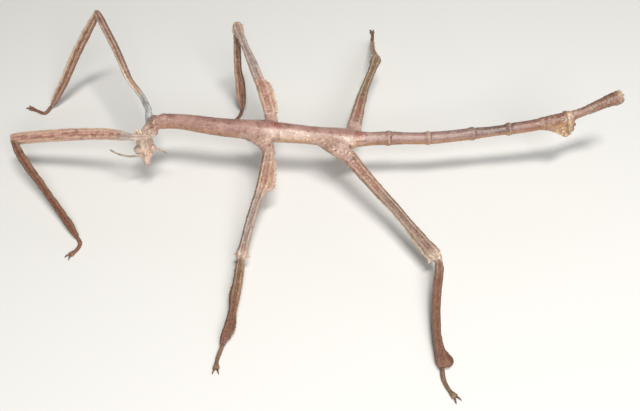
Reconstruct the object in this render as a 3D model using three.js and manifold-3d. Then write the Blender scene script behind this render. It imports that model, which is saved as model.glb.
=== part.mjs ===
// A giant stick insect at life size, standing still with its legs spread, as a museum model.
// Millimetres, +Z up. The body lies along X with the head at the low-X end, the animal's left side
// faces -Y, and the feet stand on z = 0.

import * as THREE from 'three';
import Module from 'manifold-3d';

const wasm = await Module();
wasm.setup();

const point = (x, y, z) => new THREE.Vector3(x, y, z);
const UP = point(0, 0, 1);

// ---------------------------------------------------------------- driving dimensions

const GAP = 0.3; // room left between neighbouring pieces
const EYE_GAP = 0.2; // room round each eye in its socket
const BOX_CENTRE = point(-8.493, 0.545, 0); // middle of the footprint, moved to the origin
const BODY_SIDES = 12; // facets round the trunk

// The trunk's centre line, from the collar behind the neck to the tip of the tail.
const SPINE = [
  point(-50.5, 4.2, 19),
  point(-44, 4.1, 18.8),
  point(-32, 2.4, 18.2),
  point(-18, 1.5, 17.4),
  point(-6, 0.6, 16.7),
  point(5.3, -0.5, 16.2),
  point(17.6, 0.1, 15.9),
  point(29.3, 0.2, 15.9),
  point(42.4, 1.6, 16.4),
  point(53, 2.6, 17.3),
  point(62.8, 3.6, 18.6),
  point(70.6, 4.9, 20.2),
  point(76.5, 6.6, 21.7),
  point(81.4, 8.3, 23),
  point(85.3, 8.9, 24.4),
];

// Trunk pieces as [x along the body, half width, half height] rings.
const MESOTHORAX = [
  [-50.2, 1.9, 1.9],
  [-49.7, 2.3, 2.3],
  [-48, 2.15, 2.2],
  [-44, 2.2, 2.25],
  [-39, 2.45, 2.5],
  [-33, 2.6, 2.65],
  [-27, 2.75, 2.8],
  [-22.5, 3.1, 2.95],
  [-19, 3.5, 3],
  [-16.8, 3.3, 2.9],
  [-15.4, 2.75, 2.65],
];
const METATHORAX = [
  [-15.1, 2.75, 2.65],
  [-12, 2.6, 2.55],
  [-7, 2.6, 2.55],
  [-3, 2.8, 2.65],
  [1, 3.2, 2.85],
  [4.5, 3.5, 2.9],
  [6.6, 3, 2.6],
  [7.6, 2.45, 2.35],
];

// Abdomen rings 2 to 10: [x of the rear rim, radius in front, radius at the waist, radius of the rim].
const ABDOMEN_FRONT = 7.9;
const ABDOMEN = [
  [17.6, 2.3, 1.95, 2.3],
  [29.3, 2.0, 1.75, 2.05],
  [42.4, 1.85, 1.75, 2.0],
  [53, 1.7, 1.5, 1.95],
  [62.8, 1.7, 1.7, 1.95],
  [70.6, 1.9, 1.8, 1.75],
  [76.5, 1.35, 1.3, 1.55],
  [81.4, 1.5, 1.6, 1.9],
  [85.2, 1.85, 2.0, 1.7],
];
const FIRST_ABDOMEN_RING = 2;
const LOBED_RING = 7; // the ring that carries the grasping lobe under the belly
const LOBE = { from: 62, peak: 68.9, to: 71.6, depth: 4.4, rise: 1.25, fall: 0.6, lean: 0.35 };

// Neck and head.
const PROTHORAX = { from: point(-50.6, 4.2, 19), to: point(-54.4, 1.5, 16.1) };
const PROTHORAX_RINGS = [
  [0, 1.9, 1.9],
  [0.3, 2.05, 2],
  [0.65, 1.95, 1.9],
  [1, 1.55, 1.5],
];
const HEAD = { from: point(-54.7, 1.5, 16.4), to: point(-53.8, -4.9, 10.1) };
const HEAD_RINGS = [
  [0, 1.35, 1.3],
  [0.1, 1.8, 1.8],
  [0.28, 2.5, 2.15],
  [0.46, 2.7, 2.15],
  [0.62, 2.45, 1.95],
  [0.76, 1.75, 1.6],
  [0.88, 1.2, 1.2],
  [1, 0.7, 0.7],
];
const EYE = { along: 0.55, side: 2.3, up: 0.5, radius: 1.05 };
const CROWN = [
  [-1.9, 1.9],
  [-1.3, 2.5],
  [-0.6, 2.1],
  [0.1, 2.4],
  [0.75, 1.9],
]; // spines across the back of the head: [place to the side, length]
const CROWN_SPINE = { along: 0.14, up: 1.5, arch: 0.18, lean: 0.85, fan: 0.25, base: 0.42, tip: 0.14 };
const PALP = { along: 0.9, up: -0.2, side: 0.4, fan: 0.25, length: 1.3, base: 0.32, tip: 0.25 };
const FEELER_RADIUS = [0.34, 0.26]; // at the root and at the tip
const FEELERS = {
  right: [
    point(-55.6, -3.6, 12.6), point(-58.6, -4.4, 12.9),
    point(-62, -4.0, 13.6), point(-64.3, -3.0, 14.2),
  ],
  left: [
    point(-52.5, -2.6, 13.2), point(-50.6, -2.0, 13.4),
    point(-49.2, -2.4, 13.2), point(-47.4, -3.5, 12.9),
  ],
};

// ---------------------------------------------------------------- the six legs
// Each leg is a chain of points for the hip, the thigh, the shin and the foot. The size tables give
// [place along the piece from 0 to 1, half width across the broad face, half thickness].

const BROAD_FACE = point(0, -0.66, 0.75).normalize(); // the way the broad faces of the legs look

const HIP = {
  fore: [[0, 1.5, 1.4], [0.35, 1.35, 1.25], [0.75, 1.15, 1.05], [1, 0.95, 0.9]],
  mid_left: [[0, 1.4, 1.5], [0.4, 1.9, 1.6], [0.75, 2.1, 1.5], [1, 1.95, 1.3]],
  mid_right: [[0, 1.9, 1.5], [0.5, 2, 1.4], [1, 1.95, 1.25]],
  hind_left: [[0, 1.4, 1.6], [0.4, 2, 1.6], [0.75, 2.3, 1.5], [1, 2.2, 1.35]],
  hind_right: [[0, 2.3, 1.6], [0.5, 2.35, 1.5], [1, 2.25, 1.35]],
};
const THIGH = {
  fore_left: [
    [0, 0.95, 0.85], [0.08, 0.95, 0.85], [0.14, 1.2, 0.85], [0.2, 1.6, 0.9], [0.3, 1.75, 0.95],
    [0.6, 1.9, 1], [0.88, 1.8, 1], [0.96, 1.5, 1.05], [1, 1.1, 0.8],
  ],
  fore_right: [
    [0, 0.95, 0.9], [0.25, 0.95, 1], [0.34, 1.05, 1.5], [0.6, 1.1, 1.7],
    [0.92, 1.15, 1.6], [0.97, 1.1, 1.4], [1, 0.8, 0.9],
  ],
  mid_left: [
    [0, 1.85, 1.25], [0.12, 1.67, 1.25], [0.35, 1.6, 1.15], [0.6, 1.5, 1.1],
    [0.72, 1.38, 1.05], [0.85, 1.42, 1.05], [0.95, 1.5, 1.1], [1, 1.15, 0.9],
  ],
  mid_right: [
    [0, 1.95, 1.25], [0.2, 1.9, 1.2], [0.32, 1.75, 1.15], [0.55, 1.62, 1.1],
    [0.7, 1.3, 1.05], [0.86, 1.3, 1.05], [0.95, 1.5, 1.1], [1, 1.1, 0.9],
  ],
  hind_left: [
    [0, 2.2, 1.35], [0.1, 1.93, 1.3], [0.2, 1.82, 1.25], [0.35, 1.72, 1.25],
    [0.5, 1.6, 1.25], [0.85, 1.55, 1.2], [0.96, 1.6, 1.2], [1, 1.2, 0.9],
  ],
  hind_right: [
    [0, 2.25, 1.35], [0.1, 2.05, 1.3], [0.25, 1.82, 1.25], [0.4, 1.6, 1.2],
    [0.55, 1.36, 1.2], [0.85, 1.38, 1.2], [0.95, 1.6, 1.2], [1, 1.2, 0.9],
  ],
};
const SHIN = {
  fore_left: [
    [0, 0.9, 0.8], [0.06, 1.15, 0.9], [0.2, 1.3, 0.9], [0.4, 1.15, 0.88],
    [0.6, 1.05, 0.85], [0.8, 1.1, 0.85], [0.93, 1.15, 0.85], [1, 0.8, 0.7],
  ],
  fore_right: [
    [0, 0.95, 0.8], [0.08, 1.25, 0.9], [0.25, 1.48, 0.9], [0.6, 1.5, 0.9],
    [0.82, 1.4, 0.85], [0.94, 1.2, 0.85], [1, 0.85, 0.7],
  ],
  mid_left: [
    [0, 0.95, 0.85], [0.08, 1.3, 1], [0.25, 1.38, 1], [0.5, 1.28, 1],
    [0.65, 1.12, 0.95], [0.85, 1.2, 0.9], [0.96, 1.1, 0.85], [1, 0.8, 0.7],
  ],
  mid_right: [
    [0, 0.95, 0.85], [0.1, 1.2, 1], [0.5, 1.3, 1], [0.7, 1.65, 1],
    [0.85, 1.6, 0.9], [0.96, 1.2, 0.85], [1, 0.75, 0.7],
  ],
  hind_left: [
    [0, 1, 0.85], [0.08, 1.28, 1], [0.25, 1.28, 1], [0.5, 1.18, 1],
    [0.72, 1.13, 0.92], [0.88, 1.35, 0.9], [0.96, 1.45, 0.85], [1, 1.05, 0.7],
  ],
  hind_right: [
    [0, 0.85, 0.85], [0.1, 0.95, 1], [0.5, 0.85, 1], [0.85, 0.8, 0.9], [0.96, 0.8, 0.85], [1, 0.65, 0.7],
  ],
};

// A flange on one edge of a leg: [start, peak, end, height]. "front" is the edge nearer the head.
const NO_FLANGE = [];
const LARGE_FLANGE = 1; // flanges higher than this get a ring of points at both ends as well
const WAVE = { half: 0.05, height: 0.2 };
const WAVY_EDGE = [0.1, 0.21, 0.32, 0.43, 0.54, 0.65, 0.76, 0.87]
  .map((at) => [at - WAVE.half, at, at + WAVE.half, WAVE.height]);

const LEGS = [
  {
    name: 'fore_left',
    hip: [point(-51.4, 1.2, 17.7), point(-51.9, -1.6, 18.9), point(-52.2, -3, 19.4)],
    thigh: [
      point(-52.6, -3.5, 19.7), point(-57, -3.1, 19.4),
      point(-60.3, -1.6, 18.6), point(-65.5, 0.1, 17.6),
      point(-74, 1.6, 16.1), point(-82.5, 2.7, 14.5), point(-91, 3.7, 12.7), point(-95.4, 4, 11.8),
    ],
    shin: [
      point(-94.9, 3.3, 11.6), point(-93.2, 0.2, 10.3),
      point(-91, -2.6, 9), point(-88.8, -5.3, 7.8),
      point(-86.4, -7.9, 6.7), point(-81.8, -13.4, 4.8),
      point(-77.1, -19, 3.3), point(-72.5, -24.8, 1.7),
    ],
    foot: [
      point(-72.4, -25, 1.1), point(-71.2, -26.8, 0.45),
      point(-71.5, -28.9, 0.4), point(-72.9, -30.8, 0.4),
    ],
    hipSize: HIP.fore,
    thighSize: THIGH.fore_left,
    shinSize: SHIN.fore_left,
    thighFront: NO_FLANGE,
    thighBack: NO_FLANGE,
    shinFront: NO_FLANGE,
    shinBack: WAVY_EDGE,
  },
  {
    name: 'fore_right',
    hip: [point(-52.8, 4.4, 18), point(-53.2, 5.6, 19.4), point(-53.4, 6.6, 20.2)],
    thigh: [
      point(-53.6, 7.6, 20.8), point(-56.1, 11.9, 22.3),
      point(-59.8, 16.3, 24.2), point(-62, 20.4, 25.5),
      point(-63.7, 23.9, 26.6), point(-65.4, 27.3, 27.6),
      point(-67.2, 30.5, 28.6), point(-70.1, 35.6, 30.1),
      point(-73, 40.8, 31.5),
    ],
    shin: [
      point(-73.1, 40.7, 31.2), point(-79.5, 39.3, 22.2),
      point(-84.1, 37.6, 15.4), point(-88.1, 34.8, 8.9),
      point(-90.2, 33.5, 6), point(-93.3, 31.6, 1.7),
    ],
    foot: [
      point(-93.8, 31.4, 1.1), point(-95.4, 28.6, 0.45),
      point(-98.4, 29.8, 0.4), point(-100.8, 31.1, 0.4),
    ],
    hipSize: HIP.fore,
    thighSize: THIGH.fore_right,
    shinSize: SHIN.fore_right,
    thighFront: NO_FLANGE,
    thighBack: NO_FLANGE,
    shinFront: WAVY_EDGE,
    shinBack: NO_FLANGE,
  },
  {
    name: 'mid_left',
    hip: [
      point(-25.2, 1, 16.6), point(-20.1, -1.3, 16.3),
      point(-18.4, -3.2, 15.8), point(-17.8, -5.1, 15.2),
    ],
    thigh: [
      point(-17.8, -5.9, 15), point(-18.3, -8.8, 13.7),
      point(-18.9, -11.7, 12.4), point(-19.5, -14.5, 11.2),
      point(-20.2, -17.4, 10.1), point(-21.5, -21.8, 8.8),
      point(-22.6, -26.3, 7.5), point(-23.5, -30.9, 6.2),
      point(-24.3, -35.4, 5),
    ],
    shin: [
      point(-24.4, -35.8, 5), point(-24.8, -43.1, 4),
      point(-25.8, -52.1, 2.6), point(-27.5, -59.7, 1.7),
    ],
    foot: [
      point(-27.6, -60.2, 1.1), point(-28.3, -62.1, 0.45),
      point(-28.7, -64.1, 0.4), point(-28.7, -65.9, 0.4),
    ],
    hipSize: HIP.mid_left,
    thighSize: THIGH.mid_left,
    shinSize: SHIN.mid_left,
    thighFront: [[0.92, 0.985, 1.05, 0.5]],
    thighBack: [[0.03, 0.27, 0.345, 2.15], [0.92, 0.985, 1.05, 0.5]],
    shinFront: [[0.32, 0.43, 0.56, 0.55]],
    shinBack: [[0.66, 0.84, 0.95, 0.8]],
  },
  {
    name: 'mid_right',
    hip: [point(-17.1, 3.9, 16.9), point(-17.4, 6.3, 17.3), point(-17.7, 7.7, 17.8)],
    thigh: [
      point(-17.8, 8.6, 18.1), point(-19.2, 13.4, 19.4),
      point(-20.7, 18.1, 20.6), point(-22.5, 22.6, 22),
      point(-24.3, 27.1, 23.5), point(-26.9, 33, 25.8),
      point(-28.1, 36.1, 27), point(-29.2, 39.2, 28.2),
    ],
    shin: [
      point(-29.2, 39.1, 28), point(-29.7, 35.6, 17.4),
      point(-29.7, 34.2, 13.5), point(-29.2, 32.8, 9.5),
      point(-29.1, 31.3, 5.6), point(-29.1, 29.8, 1.7),
    ],
    foot: [
      point(-29.1, 29.4, 1.1), point(-29.7, 27.4, 0.45),
      point(-30.5, 25.9, 0.4), point(-31.3, 24.5, 0.4),
    ],
    hipSize: HIP.mid_right,
    thighSize: THIGH.mid_right,
    shinSize: SHIN.mid_right,
    thighFront: [[0.86, 0.94, 1.02, 0.7]],
    thighBack: [[-0.1, 0.27, 0.345, 1.25], [0.9, 0.985, 1.06, 0.4]],
    shinFront: NO_FLANGE,
    shinBack: [[0.66, 0.84, 0.95, 0.4]],
  },
  {
    name: 'hind_left',
    hip: [point(-4.1, -0.3, 16), point(0.3, -3, 15.6), point(3.2, -4.6, 15), point(5.3, -6, 14.4)],
    thigh: [
      point(5.9, -6.5, 14.1), point(9.2, -10.8, 12.8),
      point(13.7, -16.5, 11.1), point(17.6, -21.2, 9.8),
      point(20.9, -25.9, 8.8), point(24.4, -30.5, 7.8), point(28.8, -36.9, 6.5),
    ],
    shin: [
      point(28.9, -37.4, 6.4), point(28.8, -40.3, 5.8),
      point(28, -44.5, 5), point(27.3, -48.8, 4.1),
      point(26.9, -53.1, 3.4), point(26.7, -57.5, 2.8),
      point(27, -61.8, 2.2), point(27.2, -66.2, 1.7),
    ],
    foot: [
      point(27.3, -66.6, 1.1), point(27.4, -69.1, 0.45),
      point(28.3, -71.7, 0.4), point(29.5, -73.5, 0.4),
    ],
    hipSize: HIP.hind_left,
    thighSize: THIGH.hind_left,
    shinSize: SHIN.hind_left,
    thighFront: [[0.68, 0.92, 1, 1.1]],
    thighBack: [[0.86, 0.95, 1, 0.5]],
    shinFront: NO_FLANGE,
    shinBack: [[0.89, 0.955, 1.01, 2.1]],
  },
  {
    name: 'hind_right',
    hip: [point(6.9, 1.3, 16.1), point(7.1, 3.5, 16), point(7.3, 5.3, 15.9)],
    thigh: [
      point(7.4, 6.2, 15.8), point(8.5, 11.9, 15.2), point(9.6, 17.5, 14.6), point(10.8, 23.1, 14),
      point(12.2, 28.6, 13.5), point(14.3, 36.1, 12.7), point(16.3, 43.7, 12),
    ],
    shin: [
      point(16.2, 44.1, 11.8), point(15.7, 50.6, 9),
      point(16, 59.4, 5), point(16.5, 66.4, 1.7),
    ],
    foot: [
      point(16.5, 67.2, 1.1), point(16.8, 70.4, 0.45),
      point(17, 72.7, 0.4), point(16.9, 74.7, 0.4),
    ],
    hipSize: HIP.hind_right,
    thighSize: THIGH.hind_right,
    shinSize: SHIN.hind_right,
    thighFront: [[0.86, 0.93, 1, 0.5]],
    thighBack: [[0.86, 0.95, 1, 0.4]],
    shinFront: NO_FLANGE,
    shinBack: NO_FLANGE,
  },
];

// Foot: five short joints, each swelling at its end, then a broad pad. [place, half width, half height]
const FOOT = [
  [0, 0.5, 0.45], [0.1, 0.55, 0.5], [0.34, 0.62, 0.52], [0.39, 0.7, 0.55], [0.43, 0.52, 0.45],
  [0.53, 0.65, 0.55], [0.57, 0.5, 0.45], [0.65, 0.62, 0.52], [0.69, 0.48, 0.44], [0.76, 0.6, 0.52],
  [0.8, 0.5, 0.46], [0.88, 0.74, 0.5], [0.96, 0.9, 0.5], [1, 0.75, 0.42],
];
const CLAW = {
  length: 1.5, spread: 0.62, base: 0.27, tip: 0.1, rise: 0.34, root: 0.36, end: 0.2, floor: 0.05,
};

// ---------------------------------------------------------------- shaping tools

// One closed skin through rings that all have the same number of points.
function skinThrough(rings) {
  const sides = rings[0].length;
  const points = rings.flat();
  const faces = [];
  for (let r = 0; r < rings.length - 1; r += 1) {
    for (let s = 0; s < sides; s += 1) {
      const a = r * sides + s;
      const b = r * sides + ((s + 1) % sides);
      faces.push(a, b, b + sides, a, b + sides, a + sides);
    }
  }
  const ends = [[rings[0], 0], [rings[rings.length - 1], (rings.length - 1) * sides]];
  ends.forEach(([ring, first], end) => {
    const middle = ring.reduce((sum, p) => sum.add(p), point(0, 0, 0)).divideScalar(sides);
    points.push(middle);
    for (let s = 0; s < sides; s += 1) {
      const a = first + s;
      const b = first + ((s + 1) % sides);
      faces.push(...(end === 0 ? [b, a, points.length - 1] : [a, b, points.length - 1]));
    }
  });
  return { points, faces };
}

function volumeOf({ points, faces }) {
  let sum = 0;
  for (let f = 0; f < faces.length; f += 3) {
    const [a, b, c] = [points[faces[f]], points[faces[f + 1]], points[faces[f + 2]]];
    sum += a.dot(point(0, 0, 0).crossVectors(b, c)) / 6;
  }
  return sum;
}

// A skin as a solid that can be joined and cut, turned the right way out.
function solidFrom(skin) {
  const outward = volumeOf(skin) > 0;
  const triVerts = new Uint32Array(outward ? skin.faces : skin.faces.slice().reverse());
  const vertProperties = new Float32Array(skin.points.flatMap((p) => [p.x, p.y, p.z]));
  return new wasm.Manifold(new wasm.Mesh({ numProp: 3, vertProperties, triVerts }));
}

function geometryFrom(solid) {
  const { vertProperties, triVerts } = solid.getMesh();
  const geometry = new THREE.BufferGeometry();
  geometry.setAttribute('position', new THREE.BufferAttribute(new Float32Array(vertProperties), 3));
  geometry.setIndex(new THREE.BufferAttribute(new Uint32Array(triVerts), 1));
  geometry.computeVertexNormals();
  return geometry;
}

// The largest of the bodies that a cut leaves.
function mainBody(solid) {
  const bodies = solid.decompose().sort((a, b) => b.volume() - a.volume());
  return bodies[0];
}

function cutBy(solid, ...cutters) {
  return mainBody(cutters.reduce((left, cutter) => left.subtract(cutter), solid));
}

// Sizes at a place along a piece, straight between the listed places.
function sizeAt(table, place) {
  const next = table.findIndex(([at]) => at >= place);
  if (next <= 0) {
    return next === 0 ? table[0].slice(1) : table[table.length - 1].slice(1);
  }
  const [a, b] = [table[next - 1], table[next]];
  const share = (place - a[0]) / (b[0] - a[0]);
  return a.slice(1).map((value, k) => value + (b[k + 1] - value) * share);
}

// Height of the flanges at a place: each rises from its start to its peak and falls to its end.
function flangeAt(flanges, place) {
  return flanges.reduce((height, [start, peak, end, full]) => {
    if (place <= start || place >= end) {
      return height;
    }
    const share = place < peak ? (place - start) / (peak - start) : (end - place) / (end - peak);
    return Math.max(height, full * Math.sqrt(share));
  }, 0);
}

// ---------------------------------------------------------------- trunk

const spineCurve = new THREE.CatmullRomCurve3(SPINE, false, 'centripetal');

// The spine's point and direction at a given x, found by halving.
function spineAt(x) {
  let low = 0;
  let high = 1;
  for (let step = 0; step < 30; step += 1) {
    const middle = (low + high) / 2;
    if (spineCurve.getPoint(middle).x < x) {
      low = middle;
    } else {
      high = middle;
    }
  }
  return { centre: spineCurve.getPoint(low), along: spineCurve.getTangent(low) };
}

// How far the belly hangs below the tube where the grasping lobe is.
function lobeDepth(x) {
  if (x <= LOBE.from || x >= LOBE.to) {
    return 0;
  }
  if (x < LOBE.peak) {
    return LOBE.depth * ((x - LOBE.from) / (LOBE.peak - LOBE.from)) ** LOBE.rise;
  }
  return LOBE.depth * ((LOBE.to - x) / (LOBE.to - LOBE.peak)) ** LOBE.fall;
}

function trunkRing([x, halfWidth, halfHeight], grow, withLobe) {
  const { centre, along } = spineAt(x);
  const left = UP.clone().cross(along).normalize();
  const up = along.clone().cross(left);
  const hang = withLobe ? lobeDepth(x) : 0;
  const ring = [];
  for (let k = 0; k < BODY_SIDES; k += 1) {
    const angle = ((k + 0.5) / BODY_SIDES) * 2 * Math.PI;
    const drop = hang * Math.max(0, -Math.sin(angle)) ** 2.5;
    const narrow = 1 - 0.12 * Math.min(1, drop);
    ring.push(centre.clone()
      .addScaledVector(left, Math.cos(angle) * (halfWidth + grow) * narrow - LOBE.lean * drop)
      .addScaledVector(up, Math.sin(angle) * (halfHeight + grow) - drop));
  }
  return ring;
}

function trunkPiece(rings, { grow = 0, withLobe = false } = {}) {
  const stretched = rings.map((ring) => ring.slice());
  stretched[0][0] -= grow;
  stretched[stretched.length - 1][0] += grow;
  return solidFrom(skinThrough(stretched.map((ring) => trunkRing(ring, grow, withLobe))));
}

// An abdomen ring: a slim tube that flares to a rim at its rear end.
function abdomenRings(front, rear, frontRadius, waist, rim, extra) {
  const length = rear - front;
  const places = [
    [0, frontRadius * 0.93], [0.06, frontRadius], [0.4, waist],
    [0.86, waist], [0.95, rim], [1, rim * 0.9],
  ];
  const rings = places.map(([at, radius]) => [front + at * length, radius, radius]);
  return [...rings, ...extra].sort((a, b) => a[0] - b[0]);
}

// ---------------------------------------------------------------- limbs

// The eight-sided section of a leg: broad faces, narrow edges. [across, out of the broad face]
const LEG_SECTION = [
  [1, 0.42], [0.5, 1], [-0.5, 1], [-1, 0.42], [-1, -0.42], [-0.5, -1], [0.5, -1], [1, -0.42],
];
const FLANGE = { thin: 0.27, taper: 0.7, shoulder: 0.25, least: 0.05 }; // thin: half thickness at the edge

const NEAREST_RINGS = 0.012;

// The places along a limb where a flange needs a ring of points.
function flangeRings([start, peak, end, height]) {
  return (height > LARGE_FLANGE ? [start, peak, end] : [peak]).filter((at) => at > 0 && at < 1);
}

function limb(path, table, options) {
  const { rings, grow = 0, towardHead, front = NO_FLANGE, back = NO_FLANGE } = options;
  const { floor = 0, face = BROAD_FACE } = options;
  const curve = new THREE.CatmullRomCurve3(path, false, 'centripetal');
  const places = [...new Set([
    ...Array.from({ length: rings }, (_, i) => i / (rings - 1)),
    ...table.map(([at]) => at),
    ...[...front, ...back].flatMap(flangeRings),
  ])].sort((a, b) => a - b);
  const kept = places.filter((at, i) => i === 0 || at === 1 || at - places[i - 1] > NEAREST_RINGS);
  const skin = kept.map((place) => {
    const along = curve.getTangentAt(place);
    const across = along.clone().cross(face).normalize();
    const out = across.clone().cross(along);
    const centre = curve.getPointAt(place);
    if (place === 0 || place === 1) {
      centre.addScaledVector(along, place === 0 ? -grow : grow);
    }
    const [halfWidth, halfDepth] = sizeAt(table, place);
    return LEG_SECTION.map(([a, b]) => {
      const atEdge = Math.abs(a) === 1;
      const height = flangeAt(a * towardHead > 0 ? front : back, place);
      const flange = height * (atEdge ? 1 : FLANGE.shoulder);
      const thin = atEdge && flange > FLANGE.least;
      const depth = thin
        ? Math.max(FLANGE.thin, Math.abs(b) * halfDepth * FLANGE.taper) + grow
        : Math.abs(b) * (halfDepth + grow);
      const spot = centre.clone()
        .addScaledVector(across, Math.sign(a) * (Math.abs(a) * (halfWidth + grow) + flange))
        .addScaledVector(out, Math.sign(b) * depth);
      spot.z = Math.max(floor, spot.z);
      return spot;
    });
  });
  return solidFrom(skinThrough(skin));
}

// A round tapering spine, claw or feeler along a path.
function spike(path, fromRadius, toRadius, { sides = 6, rings = 4, grow = 0, floor = 0 } = {}) {
  const curve = new THREE.CatmullRomCurve3(path, false, 'centripetal');
  const skin = Array.from({ length: rings }, (_, i) => {
    const place = i / (rings - 1);
    const along = curve.getTangentAt(place);
    const across = along.clone().cross(Math.abs(along.z) > 0.9 ? point(1, 0, 0) : UP).normalize();
    const out = across.clone().cross(along);
    const radius = fromRadius + (toRadius - fromRadius) * place + grow;
    const centre = curve.getPointAt(place);
    return Array.from({ length: sides }, (_unused, k) => {
      const angle = (k / sides) * 2 * Math.PI;
      const spot = centre.clone()
        .addScaledVector(across, Math.cos(angle) * radius)
        .addScaledVector(out, Math.sin(angle) * radius);
      spot.z = Math.max(floor, spot.z);
      return spot;
    });
  });
  return solidFrom(skinThrough(skin));
}

// ---------------------------------------------------------------- neck and head

// Rings along a straight axis, with the animal's own left and back directions.
function axisPiece({ from, to }, table, sides, grow = 0) {
  const along = to.clone().sub(from).normalize();
  const left = UP.clone().cross(along).normalize();
  const up = along.clone().cross(left);
  return solidFrom(skinThrough(table.map(([place, halfWidth, halfHeight]) => {
    const centre = from.clone().lerp(to, place);
    centre.addScaledVector(along, place === 0 ? -grow : place === 1 ? grow : 0);
    return Array.from({ length: sides }, (_, k) => {
      const angle = ((k + 0.5) / sides) * 2 * Math.PI;
      return centre.clone()
        .addScaledVector(left, Math.cos(angle) * (halfWidth + grow))
        .addScaledVector(up, Math.sin(angle) * (halfHeight + grow));
    });
  })));
}

const headAlong = HEAD.to.clone().sub(HEAD.from).normalize();
const headLeft = UP.clone().cross(headAlong).normalize();
const headUp = headAlong.clone().cross(headLeft);
const headSpot = (place, side, up) => HEAD.from.clone().lerp(HEAD.to, place)
  .addScaledVector(headLeft, side)
  .addScaledVector(headUp, up);

function eyeBall(side, grow = 0) {
  const geometry = new THREE.SphereGeometry(EYE.radius + grow, 12, 8);
  geometry.translate(...headSpot(EYE.along, side * EYE.side, EYE.up).toArray());
  return solidFromGeometry(geometry);
}

// A closed geometry whose doubled points are merged, as a solid.
function solidFromGeometry(geometry) {
  const position = geometry.getAttribute('position');
  const index = geometry.getIndex();
  const seen = new Map();
  const points = [];
  const faces = [];
  for (let i = 0; i < index.count; i += 1) {
    const spot = point().fromBufferAttribute(position, index.getX(i));
    const key = spot.toArray().map((value) => value.toFixed(4)).join(' ');
    if (!seen.has(key)) {
      seen.set(key, points.length);
      points.push(spot);
    }
    faces.push(seen.get(key));
  }
  const whole = [];
  for (let f = 0; f < faces.length; f += 3) {
    const [a, b, c] = faces.slice(f, f + 3);
    if (a !== b && b !== c && c !== a) {
      whole.push(a, b, c);
    }
  }
  return solidFrom({ points, faces: whole });
}

function crownSpine([side, length]) {
  const { along, up, arch, lean, fan, base, tip } = CROWN_SPINE;
  const root = headSpot(along, side, up - arch * side * side);
  const aim = headUp.clone().addScaledVector(headAlong, -lean).addScaledVector(headLeft, side * fan);
  return spike([root, root.clone().addScaledVector(aim.normalize(), length)], base, tip, { rings: 2 });
}

function palp(side) {
  const root = headSpot(PALP.along, side * PALP.side, PALP.up);
  const aim = headAlong.clone().addScaledVector(headLeft, side * PALP.fan).normalize();
  const tip = root.clone().addScaledVector(aim, PALP.length);
  return spike([root, tip], PALP.base, PALP.tip, { rings: 2 });
}

function headSolid(grow = 0) {
  return axisPiece(HEAD, HEAD_RINGS, 14, grow);
}

// ---------------------------------------------------------------- assembly

const COLOURS = {
  thorax: [0x7d5a56, 0.5],
  abdomen: [0x80604f, 0.5],
  head: [0x9a7470, 0.6],
  lobe: [0xb59068, 0.65],
  foreLeg: [0x8a6459, 0.6],
  leg: [0x6e5244, 0.65],
  foot: [0x7a4636, 0.6],
  claw: [0x3a241c, 0.4],
  eye: [0x5a4336, 0.2],
  feeler: [0x8d775f, 0.6],
};

const insect = new THREE.Group();
insect.position.copy(BOX_CENTRE).negate();

function place(name, solid, finish) {
  const [colour, roughness] = COLOURS[finish];
  const material = new THREE.MeshStandardMaterial({ color: colour, roughness, metalness: 0 });
  const mesh = new THREE.Mesh(geometryFrom(solid), material);
  mesh.name = name;
  insect.add(mesh);
}

// Trunk.
place('mesothorax', trunkPiece(MESOTHORAX), 'thorax');
place('metathorax', trunkPiece(METATHORAX), 'thorax');
const abdomen = ABDOMEN.map(([rear, ...radii], i) => {
  const front = i === 0 ? ABDOMEN_FRONT : ABDOMEN[i - 1][0] + GAP;
  const lobed = i + FIRST_ABDOMEN_RING === LOBED_RING;
  const extra = lobed ? [0.62, 0.74].map((at) => [front + at * (rear - front), radii[1], radii[1]]) : [];
  return { rings: abdomenRings(front, rear, ...radii, extra), lobed };
});
abdomen.forEach(({ rings, lobed }, i) => {
  const name = `abdomen_${i + FIRST_ABDOMEN_RING}`;
  place(name, trunkPiece(rings, { withLobe: lobed }), lobed ? 'lobe' : 'abdomen');
});

// Neck, head, eyes and feelers.
const grownMesothorax = trunkPiece(MESOTHORAX, { grow: GAP });
const neck = cutBy(axisPiece(PROTHORAX, PROTHORAX_RINGS, BODY_SIDES), grownMesothorax);
place('prothorax', neck, 'thorax');
const grownNeck = axisPiece(PROTHORAX, PROTHORAX_RINGS, BODY_SIDES, GAP);
const headParts = [headSolid(), ...CROWN.map(crownSpine), palp(1), palp(-1)];
const crowned = headParts.reduce((sum, piece) => sum.add(piece));
place('head', cutBy(crowned, grownNeck, eyeBall(1, EYE_GAP), eyeBall(-1, EYE_GAP)), 'head');
place('eye_left', eyeBall(1), 'eye');
place('eye_right', eyeBall(-1), 'eye');
const grownHead = headSolid(GAP);
Object.entries(FEELERS).forEach(([side, path]) => {
  const feeler = spike(path, ...FEELER_RADIUS, { sides: 6, rings: 12 });
  const socket = eyeBall(side === 'left' ? 1 : -1, GAP);
  place(`feeler_${side}`, cutBy(feeler, grownHead, socket), 'feeler');
});

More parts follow.
